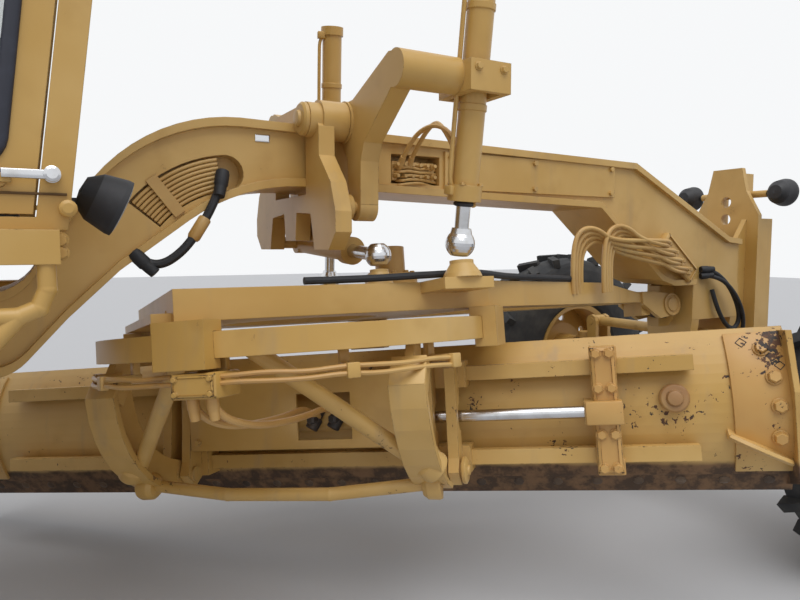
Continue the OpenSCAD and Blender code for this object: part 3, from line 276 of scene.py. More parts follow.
def wornBlade():
    f = Finish("wornBlade")
    off = f.node("ShaderNodeVectorMath", {"operation": "SUBTRACT"}, f.coords, bladeWear["origin"])
    along = f.dot(off, bladeWear["along"])
    up = f.dot(off, bladeWear["up"])
    colour, patches, cloud, streaks = weathered(f, paint["yellow"], 0.45, 0.50)
    near = None
    for place, height, reach in bladeWear["patches"]:
        far = ((along - place) ** 2 + ((up - height) * bladeWear["patchSquash"]) ** 2) ** 0.5
        spot = 1 - far.ramp(reach * 0.2, reach)
        near = spot if near is None else near.most(spot)
    rounded, edge = f.edges(0.005)
    mixed = f.noise(60.0, 3, 0.6) * 0.45 + cloud * 0.35 + f.noise(17.0, 4, 0.7) * 0.20
    rubbed = edge * f.noise(22.0, 3, 0.7).ramp(0.50, 0.60)
    worn = (mixed + near * 0.085).ramp(0.610, 0.625).most(rubbed)
    colour = f.mix(worn, colour, bareMetal(f))
    low = 1 - (up + cloud * 0.030).ramp(*bladeWear["browned"])
    brown = f.mix(f.noise(12.0, 4, 0.7).ramp(0.40, 0.62), *bladeWear["brown"])
    colour = f.mix(low, colour, brown)
    rough = 0.38 + patches * 0.16 + worn.most(low) * 0.35
    height = cloud * 0.3 + f.noise(240.0, 2) * 0.1 - worn * 0.7
    return f.wear(Base_Color=colour, Roughness=rough, Normal=f.bump(0.28, 0.002, height, rounded),
                  Coat_Weight=0.10, Coat_Roughness=0.35)


def tyreRubber(clean=(0.020, 0.021, 0.023), dusty=(0.085, 0.080, 0.072)):
    f = Finish("tyreRubber")
    cloud = f.noise(5.0, 4, 0.6)
    colour = f.mix(cloud.ramp(0.40, 0.75) * 0.7, clean, dusty)
    grain = f.bump(0.35, 0.002, f.noise(160.0, 3) + cloud * 0.6)
    return f.wear(Base_Color=colour, Roughness=0.72 + cloud * 0.2, Normal=grain)


def wornSteel(name, base=(0.085, 0.060, 0.045)):
    f = Finish(name)
    cloud = f.noise(4.0, 5, 0.65)
    scratches = f.noise(30.0, 3, 0.7, stretch=(0.15, 0.15, 1.0))
    rounded, edge = f.edges(0.004)
    colour = f.mix(cloud.ramp(0.35, 0.7), base, (0.190, 0.130, 0.085))
    colour = f.mix(scratches.ramp(0.62, 0.78) * 0.5, colour, (0.30, 0.27, 0.24))
    colour = f.mix(edge * 0.6, colour, (0.34, 0.30, 0.26))
    grain = f.bump(0.3, 0.003, cloud + scratches * 0.3, rounded)
    return f.wear(Base_Color=colour, Roughness=0.45 + cloud * 0.3, Metallic=0.55, Normal=grain)


def rodChrome(bright=(0.72, 0.73, 0.75), dull=(0.50, 0.48, 0.45)):
    f = Finish("rodChrome")
    haze = f.noise(12.0, 3, 0.6)
    colour = f.mix(haze.ramp(0.4, 0.7) * 0.5, bright, dull)
    return f.wear(Base_Color=colour, Roughness=0.14 + haze * 0.18, Metallic=1.0)


def plainCoat(name, colour, rough):
    # one colour, paler where dust lies
    f = Finish(name)
    haze = f.noise(14.0, 3, 0.6)
    tone = f.mix(haze.ramp(0.45, 0.8) * 0.5, colour, tuple(c * 2.2 + 0.012 for c in colour))
    rounded, edge = f.edges(0.002)
    grain = f.bump(0.12, 0.001, f.noise(300.0, 2), rounded)
    return f.wear(Base_Color=tone, Roughness=rough + haze * 0.2, Normal=grain)


def clearGlass():
    f = Finish("clearGlass")
    dirt = f.noise(5.0, 4, 0.6)
    return f.wear(Base_Color=(0.42, 0.50, 0.48), Roughness=0.04 + dirt * 0.08,
                  Alpha=0.20 + dirt.ramp(0.5, 0.9) * 0.2)


finishes = {
    "yellow": paintedSteel("yellowPaint", paint["yellow"], 0.25, 0.15),
    "tan": paintedSteel("tanPaint", paint["tan"], 0.35, 0.35),
    "blade": wornBlade(),
    "carrier": paintedSteel("carrierPaint", paint["yellow"], 0.75, 0.45),
    "rubber": tyreRubber(),
    "edge": wornSteel("cuttingEdge"),
    "steel": wornSteel("greasySteel", (0.050, 0.045, 0.042)),
    "chrome": rodChrome(),
    # black paint, and also the painted shade inside the blade's square holes
    "black": plainCoat("blackPaintAndHoleShade", (0.020, 0.020, 0.023), 0.5),
    "vinyl": plainCoat("seatVinyl", (0.030, 0.030, 0.030), 0.6),
    "glass": clearGlass(),
    "red": plainCoat("redLens", (0.300, 0.015, 0.010), 0.2),
    "lens": plainCoat("lampLens", (0.420, 0.440, 0.450), 0.15),
    "rubberSeal": plainCoat("rubberSeal", (0.016, 0.018, 0.030), 0.45),
    "hoseBlack": plainCoat("hoseBlack", (0.014, 0.015, 0.018), 0.55),
    "hoseTan": paintedSteel("hoseTan", paint["hose"], 0.30, 0.35, 0.001),
    "wornYellow": paintedSteel("wornYellow", paint["scuffed"], 1.1, 0.6, 0.003),
    "rusty": paintedSteel("rustyPaint", paint["rusted"], 1.0, 0.8),
    # thin dark strips in the seams of the doors and the hood, painted shadow
    "paintedSeamShadow": plainCoat("seamShadow", (0.110, 0.060, 0.020), 0.7),
}

finishOf = {    # by how a node's name starts, the first that fits; every other node is yellow
    "tyre_": "rubber", "engine_": "yellow", "engine": "black", "radiator": "black",
    "rear_axle": "tan", "rear_lamps": "red", "frame_lines": "tan", "link_bar": "yellow",
    "cab_glass": "glass", "door_glass": "glass", "cab_interior": "vinyl", "front_lamps": "black",
    "lift_rod": "chrome", "shift_rod": "chrome", "side_rod": "chrome", "drawbar_ball": "steel",
    "knuckle": "tan", "tie_rod": "tan", "mouldboard": "blade", "blade_carrier": "carrier",
    "blade_arms": "carrier",
}

for name, obj in nodes.items():
    key = next((finishOf[start] for start in finishOf if name.startswith(start)), "yellow")
    obj.data.materials.clear()
    obj.data.materials.append(finishes[key])
print("finishes on the frame:", len(nodes))


# making

def only(obj):
    bpy.ops.object.select_all(action="DESELECT")
    obj.select_set(True)
    bpy.context.view_layer.objects.active = obj


def pick(obj, test):
    # goes to edit mode with the faces whose middle and normal pass the test selected
    only(obj)
    bpy.ops.object.mode_set(mode="EDIT")
    bpy.ops.mesh.select_mode(type="FACE")
    bpy.ops.mesh.select_all(action="DESELECT")
    bpy.ops.object.mode_set(mode="OBJECT")
    for face in obj.data.polygons:
        face.select = bool(test(face.center, face.normal))
    bpy.ops.object.mode_set(mode="EDIT")


def shaped():
    bpy.ops.object.mode_set(mode="OBJECT")


def moved(way):
    # the selected faces are extruded along a way
    bpy.ops.mesh.extrude_region_move(TRANSFORM_OT_translate={"value": way})


def closed():
    # all faces of the mesh look outwards
    bpy.ops.mesh.select_all(action="SELECT")
    bpy.ops.mesh.normals_make_consistent(inside=False)


def applied(obj, modifier):
    only(obj)
    bpy.ops.object.modifier_apply(modifier=modifier.name)
    return obj


def softened(obj, width, segments):
    soft = obj.modifiers.new("soft", "BEVEL")
    soft.width = width
    soft.segments = segments
    return applied(obj, soft)


def joined(pieces):
    only(pieces[0])
    for piece in pieces[1:]:
        piece.select_set(True)
    if len(pieces) > 1:
        bpy.ops.object.join()
    return bpy.context.object


def settle(obj, name, body, finish, place=None):
    # place turns the level drawbar or the straight circle to where it rests
    if place is not None:
        obj.matrix_world = place @ obj.matrix_world
    only(obj)
    bpy.ops.object.transform_apply(location=True, rotation=True, scale=True)
    bpy.ops.object.shade_smooth_by_angle(angle=math.radians(32))
    obj.name = obj.data.name = name
    obj.data.materials.clear()
    obj.data.materials.append(finishes[finish])
    if body:
        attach(obj, body)
    return obj


def slab(corner, opposite, edge=0.003):
    # a plate or block between two opposite corners, its edges bevelled
    bpy.ops.mesh.primitive_cube_add(size=1, location=[(a + b) / 2 for a, b in zip(corner, opposite)])
    obj = bpy.context.object
    obj.scale = [abs(b - a) for a, b in zip(corner, opposite)]
    only(obj)
    bpy.ops.object.transform_apply(location=True, rotation=False, scale=True)
    bpy.ops.object.mode_set(mode="EDIT")
    bpy.ops.mesh.select_all(action="SELECT")
    bpy.ops.mesh.bevel(offset=edge, segments=2, affect="EDGES")
    shaped()
    return obj


def panelled(obj, axis, rim, step):
    # the face that looks back along an axis, 0 or 1, is inset, and its middle goes in or out by a step
    pick(obj, lambda middle, normal: normal[axis] < -0.8)
    bpy.ops.mesh.inset(thickness=rim)
    moved([step if i == axis else 0 for i in range(3)])
    shaped()
    return obj


def turnedShape(rings, sides):
    # rings run from the foot up, each a radius and a height
    radius, height = rings[0]
    bpy.ops.mesh.primitive_circle_add(vertices=sides, radius=radius, fill_type="NGON", location=(0, 0, height))
    obj = bpy.context.object
    only(obj)
    bpy.ops.object.transform_apply(location=True, rotation=False, scale=False)
    bpy.ops.object.mode_set(mode="EDIT")
    bpy.ops.mesh.select_all(action="SELECT")
    for (before, foot), (radius, height) in zip(rings, rings[1:]):
        moved((0, 0, height - foot))
        size = radius / before
        bpy.ops.transform.resize(value=(size, size, 1), center_override=(0, 0, height))
    closed()
    shaped()
    return obj


def aimed(obj, point, way, size=1.0):
    turn = Vector(way).to_track_quat("Z", "Y").to_matrix().to_4x4()
    obj.matrix_world = Matrix.Translation(point) @ turn @ Matrix.Diagonal((size, size, size, 1))
    return obj


def turned(obj, point, degrees, axis):
    obj.matrix_world = Matrix.Translation(point) @ Matrix.Rotation(math.radians(degrees), 4, axis)
    return obj


def mirrored(point, side):
    x, y, z = point
    return Vector((x, y * side, z))


def copies(model, spots, size=1.0, keep=False):
    # one joined piece with the model at each spot, a point and the way it faces
    made = []
    for point, way in spots:
        copy = model.copy()
        copy.data = model.data.copy()
        bpy.context.collection.objects.link(copy)
        made.append(aimed(copy, point, way, size))
    if not keep:
        bpy.data.objects.remove(model)
    return joined(made)


def bolts(spots, size):
    return copies(bolt, spots, size, keep=True)


collarRings = [(0.72, 0), (0.80, 0.25), (0.80, 1.7), (0.70, 1.9), (0.70, 2.2), (0.62, 3.2)]    # in hose widths


def hose(points, thick, roundness=3, ends=()):
    # a tube along a smooth route, with a crimped collar at each end that is asked for, 0 or -1
    route = bpy.data.curves.new("route", "CURVE")
    route.dimensions = "3D"
    line = route.splines.new("NURBS")
    line.points.add(len(points) - 1)
    for knot, point in zip(line.points, points):
        knot.co = (*point, 1)
    line.order_u = 3
    line.use_endpoint_u = True
    line.resolution_u = 5
    route.bevel_depth = thick / 2
    route.bevel_resolution = roundness
    route.use_fill_caps = True
    obj = bpy.data.objects.new("route", route)
    bpy.context.collection.objects.link(obj)
    only(obj)
    bpy.ops.object.convert(target="MESH")
    parts = [bpy.context.object]
    bpy.ops.object.mode_set(mode="EDIT")
    bpy.ops.mesh.select_all(action="SELECT")
    bpy.ops.mesh.remove_doubles(threshold=0.0002)
    closed()
    shaped()
    for end in ends:
        tip, inner = Vector(points[end]), Vector(points[1 if end == 0 else -2])
        parts.append(aimed(turnedShape(collarRings, 12), tip, inner - tip, thick))
    return joined(parts)


# the level drawbar and the straight circle, in which their pieces are measured, and how they rest

rest = {"ball": (3.180, 0, 1.060), "circleX": 1.130, "swing": 1.8, "roll": 8.5, "circleTurn": 48}
ballPlace = Vector(rest["ball"])
drawbarPlace = (Matrix.Translation(ballPlace) @ Matrix.Rotation(math.radians(-rest["swing"]), 4, "Z")
                @ Matrix.Rotation(math.radians(-rest["roll"]), 4, "X") @ Matrix.Translation(-ballPlace))
circlePlace = (drawbarPlace @ Matrix.Translation((rest["circleX"], 0, 0))
               @ Matrix.Rotation(math.radians(rest["circleTurn"]), 4, "Z"))

washer = turnedShape([(0.60, 0), (0.62, 0.02), (0.62, 0.10), (0.58, 0.13)], 20)
hexHead = turnedShape([(0.50, 0.12), (0.50, 0.42), (0.44, 0.50)], 6)
bolt = joined([washer, hexHead])        # its head is 1 across, and it is scaled where it is used
print("bolts modelled")

# cab: door seals, handles and seams, bolts and door stops, gutters, wiper

cab = {
    "face": 0.700,                      # of the side walls and doors
    "boltX": (0.245, -0.78),
    "boltZ": (1.366, 1.397),
    "bolt": 0.030,
    "stop": (0.262, 0.6895, 1.470),
    "gutterX": (-0.84, 0.44),
    "gutterZ": (3.045, 3.062),
    "gutterHalf": 0.010,
    "lean": 7.4,                        # degrees, of the windscreen and the doors' front edge
}
door = {
    "seal": 0.034,
    "proud": 0.012,
    "sunk": 0.012,
    "corner": 0.075,
    "handle": (0.232, 1.548),
    "lever": (0.105, 0.014),            # behind and ahead of the handle's hub
    "leverOut": 0.034,
    "seam": (0.049, 0.006),             # below the glass's seal, and its height
}
hubRings = [(0.019, 0), (0.019, 0.016), (0.014, 0.018), (0.014, 0.030), (0.018, 0.034), (0.018, 0.044),
            (0.012, 0.048)]
stopRings = [(0.014, 0), (0.014, 0.018), (0.020, 0.022), (0.020, 0.050), (0.012, 0.056)]


def roundedFrame(outline, width, deep, corner):
    # a flat ring of rubber round an outline in X and Z, its corners bevelled round
    bpy.ops.mesh.primitive_plane_add(size=1)
    obj = bpy.context.object
    for vertex, (x, z) in zip(obj.data.vertices, outline):
        vertex.co = (x, 0, z)
    bpy.ops.object.mode_set(mode="EDIT")
    bpy.ops.mesh.select_all(action="SELECT")
    bpy.ops.mesh.bevel(offset=corner, segments=6, affect="VERTICES")
    bpy.ops.mesh.select_all(action="SELECT")
    bpy.ops.mesh.inset(thickness=width, use_even_offset=True)
    bpy.ops.mesh.delete(type="FACE")
    bpy.ops.mesh.select_all(action="SELECT")
    moved((0, deep, 0))
    closed()
    shaped()
    return softened(obj, width * 0.28, 3)


def doorFittings(side, body):
    low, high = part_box(body.replace("door", "door_glass"))
    face = cab["face"] * side
    reach = door["seal"] / 2
    top, foot = high.z + reach, low.z - reach
    leaned = (high.z - low.z) * math.tan(math.radians(cab["lean"]))
    outline = [(low.x - reach, foot), (high.x + reach - leaned, foot),
               (low.x - reach, top), (high.x + reach, top)]
    seal = roundedFrame(outline, door["seal"], door["proud"] + door["sunk"], door["corner"])
    seal.location.y = face - (door["sunk"] if side > 0 else door["proud"])
    settle(seal, f"doorSeal_{body}", body, "rubberSeal")

    handleX, handleZ = door["handle"]
    hub = aimed(turnedShape(hubRings, 24), (handleX, face, handleZ), (0, side, 0))
    behind, ahead = door["lever"]
    lever = slab((handleX - behind, -0.006, -0.011), (handleX + ahead, 0.006, 0.011), 0.004)
    pick(lever, lambda middle, normal: normal.x < -0.8)
    bpy.ops.transform.resize(value=(1, 0.7, 0.5), center_override=(0, 0, 0))    # tapered to its tip
    shaped()
    lever.location = (0, face + side * door["leverOut"], handleZ - 0.002)
    only(lever)
    bpy.ops.object.transform_apply(location=True)
    settle(joined([hub, lever]), f"doorHandle_{body}", body, "chrome")

    # the door's seam is a thin dark strip below the glass's seal, painted shadow
    below, tall = door["seam"]
    seam = slab((low.x - 0.075, face - 0.002 * side, foot - below - tall / 2),
                (0.262, face + 0.006 * side, foot - below + tall / 2), 0.001)
    settle(seam, f"doorSeam_{body}", body, "paintedSeamShadow")


doorFittings(1, "door_left")
doorFittings(-1, "door_right")

cabBits = []
for side in (-1, 1):
    spots = [((x, cab["face"] * side, z), (0, side, 0)) for x in cab["boltX"] for z in cab["boltZ"]]
    cabBits.append(bolts(spots, cab["bolt"]))
    cabBits.append(aimed(turnedShape(stopRings, 16), mirrored(cab["stop"], side), (0, side, 0)))
settle(joined(cabBits), "cabBolts", "front", "yellow")

gutters = []
for side in (-1, 1):
    middle, half = cab["face"] * side, cab["gutterHalf"]
    gutters.append(slab((cab["gutterX"][0], middle - half, cab["gutterZ"][0]),
                        (cab["gutterX"][1], middle + half, cab["gutterZ"][1]), 0.004))
settle(joined(gutters), "rainGutters", "front", "yellow")

wiper = {
    "motor": (0.447, -0.10, 2.965),
    "arm": [(0.470, -0.10, 2.965), (0.466, -0.14, 2.70), (0.440, -0.18, 2.42)],
    "armThick": 0.012,
    "blade": ((0.418, -0.193, 2.15), (0.430, -0.178, 2.75)),
    "bladeMiddle": (0.424, -0.18, 2.45),
}
motorRings = [(0.045, 0), (0.045, 0.012), (0.020, 0.020), (0.016, 0.040)]
wiperBlade = slab(*wiper["blade"], 0.004)
only(wiperBlade)
bpy.ops.transform.rotate(value=math.radians(-cab["lean"]), orient_axis="Y",
                         center_override=wiper["bladeMiddle"])
wiperBits = [hose(wiper["arm"], wiper["armThick"], 2), wiperBlade,
             aimed(turnedShape(motorRings, 20), wiper["motor"], (1, 0, 0))]
settle(joined(wiperBits), "frontWiper", "front", "black")
print("cab fittings made")

# lamps: the ringed lenses of the two cab lamps and the two headlamps

lamps = {
    "cab": (0.390, 0.500, 1.490),
    "cabTilt": 25,                      # degrees, below straight ahead
    "cabProud": 0.008,
    "headY": 0.290,
    "headZ": 1.680,
    "headSunk": 0.010,
    "headSize": 0.92,
}
lensRings = [(0.066, 0), (0.072, 0.002), (0.072, 0.008), (0.063, 0.010), (0.060, 0.006), (0.040, 0.011),
             (0.015, 0.013)]
lens = turnedShape(lensRings, 40)
tilt = math.radians(lamps["cabTilt"])
cabWay = Vector((math.cos(tilt), 0, -math.sin(tilt)))
cabSpots = [(mirrored(lamps["cab"], side) + cabWay * lamps["cabProud"], cabWay) for side in (-1, 1)]
settle(copies(lens, cabSpots, keep=True), "cabLampLenses", "front", "lens")
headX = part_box("front_lamps")[1].x - lamps["headSunk"]
headSpots = [((headX, side * lamps["headY"], lamps["headZ"]), (1, 0, 0)) for side in (-1, 1)]
settle(copies(lens, headSpots, lamps["headSize"]), "headlampLenses", "front", "lens")
print("lamps made")

# front frame: the hoses that arch over to the drawbar, their manifold, the black hoses beside the hitch,
# and the loop and blank plate under the gooseneck

archHoses = {
    "thick": 0.021,
    "groups": 2,
    "inGroup": 4,
    "near": -0.262,                     # Y of the hose nearest to the outside
    "step": 0.014,                      # and how far apart they lie
    "foot": 2.300,                      # X where the first one rises from the drawbar
    "top": 1.440,
    "end": (3.030, -0.165, 1.400),      # of the first one, at the manifold
}
arches = []
archEnds = []
for group in range(archHoses["groups"]):
    for i in range(archHoses["inGroup"]):
        y = archHoses["near"] + archHoses["step"] * i
        foot = archHoses["foot"] + 0.190 * group + 0.030 * i
        top = archHoses["top"] + 0.012 * group - 0.020 * i
        end = Vector(archHoses["end"]) + Vector((0.055 * i - 0.014 * group, 0, -0.045 * i - 0.018 * group))
        arches.append(hose([
            (foot, y, 1.170), (foot - 0.010, y, 1.280), (foot, y, top - 0.020),
            (foot + 0.060, y, top + 0.030), (foot + 0.150, y, top + 0.020), (foot + 0.230, y, top - 0.030),
            (end.x - 0.170, y, end.z + 0.014), (end.x - 0.070, y + 0.010, end.z + 0.005), end],
            archHoses["thick"]))
        archEnds.append(end)
arch = settle(joined(arches), "drawbarHoses", None, "hoseTan")
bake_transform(arch)

manifold = {"half": (0.150, 0.020, 0.048), "place": (3.105, -0.168, 1.323), "slant": 39.3}
nutRings = [(0.017, 0), (0.017, 0.022), (0.013, 0.026), (0.013, 0.038)]
block = panelled(slab([-half for half in manifold["half"]], manifold["half"], 0.006), 1, 0.012, 0.006)
turned(block, manifold["place"], manifold["slant"], "Y")
nutSpots = [(end + Vector((0.012, -0.006, 0)), (-1, -0.25, 0)) for end in archEnds]
nuts = copies(turnedShape(nutRings, 6), nutSpots)
settle(joined([block, nuts]), "hoseManifold", "front", "tan")

blackHoses = [
    hose([(3.300, -0.165, 1.260), (3.360, -0.185, 1.262), (3.470, -0.205, 1.190), (3.560, -0.205, 1.080),
          (3.600, -0.200, 0.985), (3.570, -0.190, 0.925), (3.500, -0.185, 0.950), (3.420, -0.180, 1.060),
          (3.400, -0.165, 1.150)], 0.024, ends=(0,)),
    hose([(3.300, -0.165, 1.225), (3.380, -0.200, 1.232), (3.500, -0.225, 1.150), (3.600, -0.222, 1.020),
          (3.625, -0.205, 0.900), (3.610, -0.160, 0.800)], 0.022, ends=(0,)),
]
settle(joined(blackHoses), "frontBlackHoses", "front", "hoseBlack")

neckLoop = {
    "thick": 0.030,
    "route": [(0.768, -0.158, 1.640), (0.755, -0.176, 1.590), (0.715, -0.182, 1.500), (0.665, -0.186, 1.420),
              (0.615, -0.188, 1.360), (0.555, -0.182, 1.320), (0.500, -0.172, 1.330), (0.470, -0.160, 1.362)],
    "sleeve": (0.700, -0.1825, 1.478),
    "sleeveWay": (-0.5, 0, -0.8),
    "plate": ((0.885, -0.1535, 1.752), (0.938, -0.1500, 1.778)),
}
sleeveRings = [(0.019, 0), (0.022, 0.006), (0.022, 0.075), (0.018, 0.085)]
loop = hose(neckLoop["route"], neckLoop["thick"], ends=(0, -1))
settle(loop, "neckHoseLoop", "front", "hoseBlack")
sleeve = aimed(turnedShape(sleeveRings, 16), neckLoop["sleeve"], neckLoop["sleeveWay"])
settle(sleeve, "neckHoseSleeve", "front", "tan")
blank = panelled(slab(*neckLoop["plate"], 0.001), 1, 0.003, 0.001)
settle(blank, "blankPlate", "front", "chrome")

# valve bank in the frame's pocket: spools, their nuts and a bundle of lines bent over the pocket's edge

valves = {
    "count": 6,
    "first": 1.455,
    "apart": 0.034,
    "half": 0.014,
    "y": (-0.135, -0.062),
    "z": (1.645, 1.722),
    "nuts": ((1.700, (0, -1, 0.2)), (1.665, (0, -1, -0.1))),    # height, and the way a nut faces
    "line": 0.012,
    "lineZ": 1.628,
    "lineApart": 0.017,
    "upperLine": 0.018,
}
spoolRings = [(0.011, 0), (0.011, 0.016), (0.008, 0.020), (0.008, 0.034)]
bank = []
for i in range(valves["count"]):
    x = valves["first"] + valves["apart"] * i
    bank.append(slab((x - valves["half"], valves["y"][0], valves["z"][0]),
                     (x + valves["half"], valves["y"][1], valves["z"][1]), 0.003))
    for z, way in valves["nuts"]:
        bank.append(aimed(turnedShape(spoolRings, 6), (x, valves["y"][0] + 0.001, z), way))
settle(joined(bank), "valveBank", "front", "tan")

valveLines = []
for i in range(valves["count"]):
    z = valves["lineZ"] + valves["lineApart"] * i
    last = 1.452 + 0.012 * (i % 3)
    valveLines.append(hose([
        (1.652, -0.118 - 0.004 * (i % 2), z), (1.600, -0.140, z + 0.004),
        (1.560, -0.157, z + 0.010 - 0.004 * i), (1.500, -0.162, z + 0.004),
        (last + 0.010, -0.158, z - 0.004), (last, -0.130, z)], valves["line"], 2))
for i in range(2):
    foot = 1.470 + 0.040 * i
    valveLines.append(hose([
        (foot, -0.140, 1.690), (foot, -0.200, 1.760),
        (1.500 + 0.030 * i, -0.260 - 0.030 * i, 1.830 + 0.020 * i), (1.520, -0.380, 1.835),
        (1.535, -0.500, 1.720 - 0.060 * i), (1.520, -0.585, 1.640 - 0.120 * i)],
        valves["upperLine"], 2, (0,)))
settle(joined(valveLines), "valveLines", "front", "hoseTan")
print("front frame lines made")

# lift cylinders: a steel line down each barrel, its blocks, bands and collar bolts, and the gland

lift = {
    "yoke": (1.500, 0.610, 1.930),          # where a cylinder hangs in its yoke
    "ball": (1.510, 0.640, 1.300),          # where its rod holds the level drawbar
    "collar": 0.395,                        # from the yoke down to the barrel's foot
    # the line's route: up from the collar, and out from the barrel's middle
    "line": ((0.045, 0.050), (0.060, 0.066), (0.14, 0.066), (0.50, 0.066), (0.78, 0.066), (0.84, 0.064),
             (0.86, 0.046)),
    "lineThick": 0.016,
    "blocks": (0.035, 0.86),
    "bands": (0.30, 0.62),
    "bolt": 0.018,
    "yokeCap": 0.079,                       # a cap's distance from the yoke's middle
    "yokeBolt": 0.024,
}
bandRings = [(0.0470, 0), (0.0500, 0.002), (0.0500, 0.022), (0.0470, 0.024)]
glandRings = [(0.027, 0), (0.036, 0.004), (0.036, 0.012), (0.030, 0.018)]
yokeCapRings = [(0.030, 0), (0.036, 0.003), (0.036, 0.020), (0.031, 0.026), (0.020, 0.027)]


def liftFittings(side, body):
    yoke = mirrored(lift["yoke"], side)
    ballPoint = drawbarPlace @ mirrored(lift["ball"], side)
    line = (yoke - ballPoint).normalized()
    across = line.cross(Vector((0, 1, 0))).normalized()
    beside = line.cross(across)

    def at(up, out, turn=0):
        # a point up from the barrel's collar, and out from its middle at a turn in degrees
        a = math.radians(turn)
        return yoke + line * (up - lift["collar"]) + (across * math.cos(a) + beside * math.sin(a)) * out

    fittings = [hose([at(up, out) for up, out in lift["line"]], lift["lineThick"], 2)]
    for up in lift["blocks"]:
        block = slab((-0.018, -0.018, -0.016), (0.018, 0.018, 0.016), 0.004)
        fittings.append(aimed(block, at(up, 0.056), line))
    for up in lift["bands"]:
        fittings.append(aimed(turnedShape(bandRings, 32), at(up, 0), line))
    fittings.append(bolts([(at(0.055, 0.052, 45 + 90 * i), line) for i in range(4)], lift["bolt"]))
    settle(joined(fittings), f"{body}_lines", body, "yellow")
    gland = aimed(turnedShape(glandRings, 32), at(-0.018, 0), line)
    settle(gland, f"{body}_gland", body, "black")


liftFittings(1, "lift_cylinder_left")
liftFittings(-1, "lift_cylinder_right")

yokeX, yokeY, yokeZ = lift["yoke"]
capSpots = [((yokeX + lift["yokeCap"] * end, side * yokeY, yokeZ), (end, 0, 0))
            for side in (-1, 1) for end in (-1, 1)]
yokeSpots = [((x, side * 0.705, 1.955), (0, side, 0)) for side in (-1, 1) for x in (1.450, 1.550)]
yokeBits = [copies(turnedShape(yokeCapRings, 28), capSpots), bolts(yokeSpots, lift["yokeBolt"])]
settle(joined(yokeBits), "yokeCaps", "front", "yellow")
print("lift gear fittings made")

# saddle and link bar: caps over the pins

pinCaps = {"saddle": (1.040, 0.235, 1.830), "linkY": 0.315, "linkZ": 1.520}
saddleRings = [(0.052, -0.004), (0.058, 0.002), (0.058, 0.014), (0.050, 0.022), (0.030, 0.023), (0.027, 0.034),
               (0.014, 0.036)]
linkRings = [(0.038, -0.004), (0.040, 0.002), (0.040, 0.012), (0.034, 0.018), (0.016, 0.019), (0.014, 0.026)]
saddleSpots = [(mirrored(pinCaps["saddle"], side), (-1, 0, 0)) for side in (-1, 1)]
settle(copies(turnedShape(saddleRings, 36), saddleSpots), "saddleCaps", "front", "yellow")
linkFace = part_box("link_bar")[0].x
linkSpots = [((linkFace, side * pinCaps["linkY"], pinCaps["linkZ"]), (-1, 0, 0)) for side in (-1, 1)]
settle(copies(turnedShape(linkRings, 28), linkSpots), "linkPinCaps", "front", "yellow")
print("lift gear caps made")

# hood: latches, grab rails, filler cap and door seams

hood = {
    "latches": (0.22, 0.50, 0.78),          # shares of the hood's length from its back
    "seams": (0.345, 0.635),
    "railIn": 0.120,                        # from the hood's side
    "railEnds": 0.35,                       # from its back and front
    "railRise": 0.045,
    "railThick": 0.022,
    "filler": (-0.22, 0.20),                # from the hood's front, and to the left
}
latchRings = [(0.016, 0), (0.016, 0.010), (0.011, 0.014), (0.011, 0.026)]
fillerRings = [(0.050, -0.03), (0.050, 0.030), (0.062, 0.034), (0.062, 0.062), (0.052, 0.070)]
back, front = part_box("engine_hood")         # its lowest and highest corner
hoodBits = []
seams = []
for side in (-1, 1):
    face = front.y if side > 0 else back.y
    for share in hood["latches"]:
        x = back.x + (front.x - back.x) * share
        out = face + side * 0.008
        hoodBits.append(slab((x - 0.030, face, back.z + 0.100), (x + 0.030, out, back.z + 0.190)))
        hoodBits.append(aimed(turnedShape(latchRings, 20), (x, out, back.z + 0.165), (0, side, 0)))
        hoodBits.append(slab((x - 0.008, face + side * 0.022, back.z + 0.105),
                             (x + 0.008, face + side * 0.032, back.z + 0.180)))
    # the seams between the hood's doors are thin dark strips, painted shadow
    for share in hood["seams"]:
        x = back.x + (front.x - back.x) * share
        seams.append(slab((x - 0.004, face - 0.002, back.z + 0.030),
                          (x + 0.004, face + 0.002, front.z - 0.140), 0.001))
    y = side * (front.y - hood["railIn"])
    start, end = back.x + hood["railEnds"], front.x - hood["railEnds"]
    foot, top = front.z - 0.030, front.z + hood["railRise"]
    hoodBits.append(hose([
        (start, y, foot), (start, y, top), (start + 0.04, y, top + 0.006), ((start + end) / 2, y, top + 0.006),
        (end - 0.04, y, top + 0.006), (end, y, top), (end, y, foot)], hood["railThick"]))
settle(joined(hoodBits), "hoodFittings", "rear", "yellow")
settle(joined(seams), "hoodSeams", "rear", "paintedSeamShadow")
fillerX, fillerY = hood["filler"]
filler = aimed(turnedShape(fillerRings, 12), (front.x + fillerX, fillerY, front.z), (0, 0, 1))
settle(filler, "fillerCap", "rear", "black")
print("hood fittings made")

# blade: end bands with bolts and square holes, stop boss, rod strap, skid and the bolts of the cutting edge

blade = {
    "x": 0.525, "z": 0.657,                 # the middle about which the blade is bent
    "back": 0.435,                          # radius of its back
    "band": 0.447,                          # and of an end band's outside
    "ends": (-1.799, 1.859),
    "bandWidth": 0.205,
    "bandTurn": (212, 144),                 # degrees about the middle, foot to head
    "bandBolts": ((0.090, 0.860), (0.065, 0.760), (0.058, 0.660), (0.062, 0.550)),      # in from the end, up
    "bandBolt": 0.046,
    "bandHoles": ((0.150, 0.885, 0.020), (0.040, 0.800, 0.018)),                        # in, up, half across
    "bossY": -1.400,
    "bossZ": 0.700,
}
bossRings = [(0.052, -0.01), (0.052, 0.030), (0.046, 0.036), (0.030, 0.037), (0.026, 0.052), (0.014, 0.055)]


def onBack(radius, z):
    # X of the blade's back, or of a skin over it, at a height, and the way it faces there
    x = blade["x"] - math.sqrt(radius ** 2 - (z - blade["z"]) ** 2)
    return x, Vector((x - blade["x"], 0, z - blade["z"])).normalized()


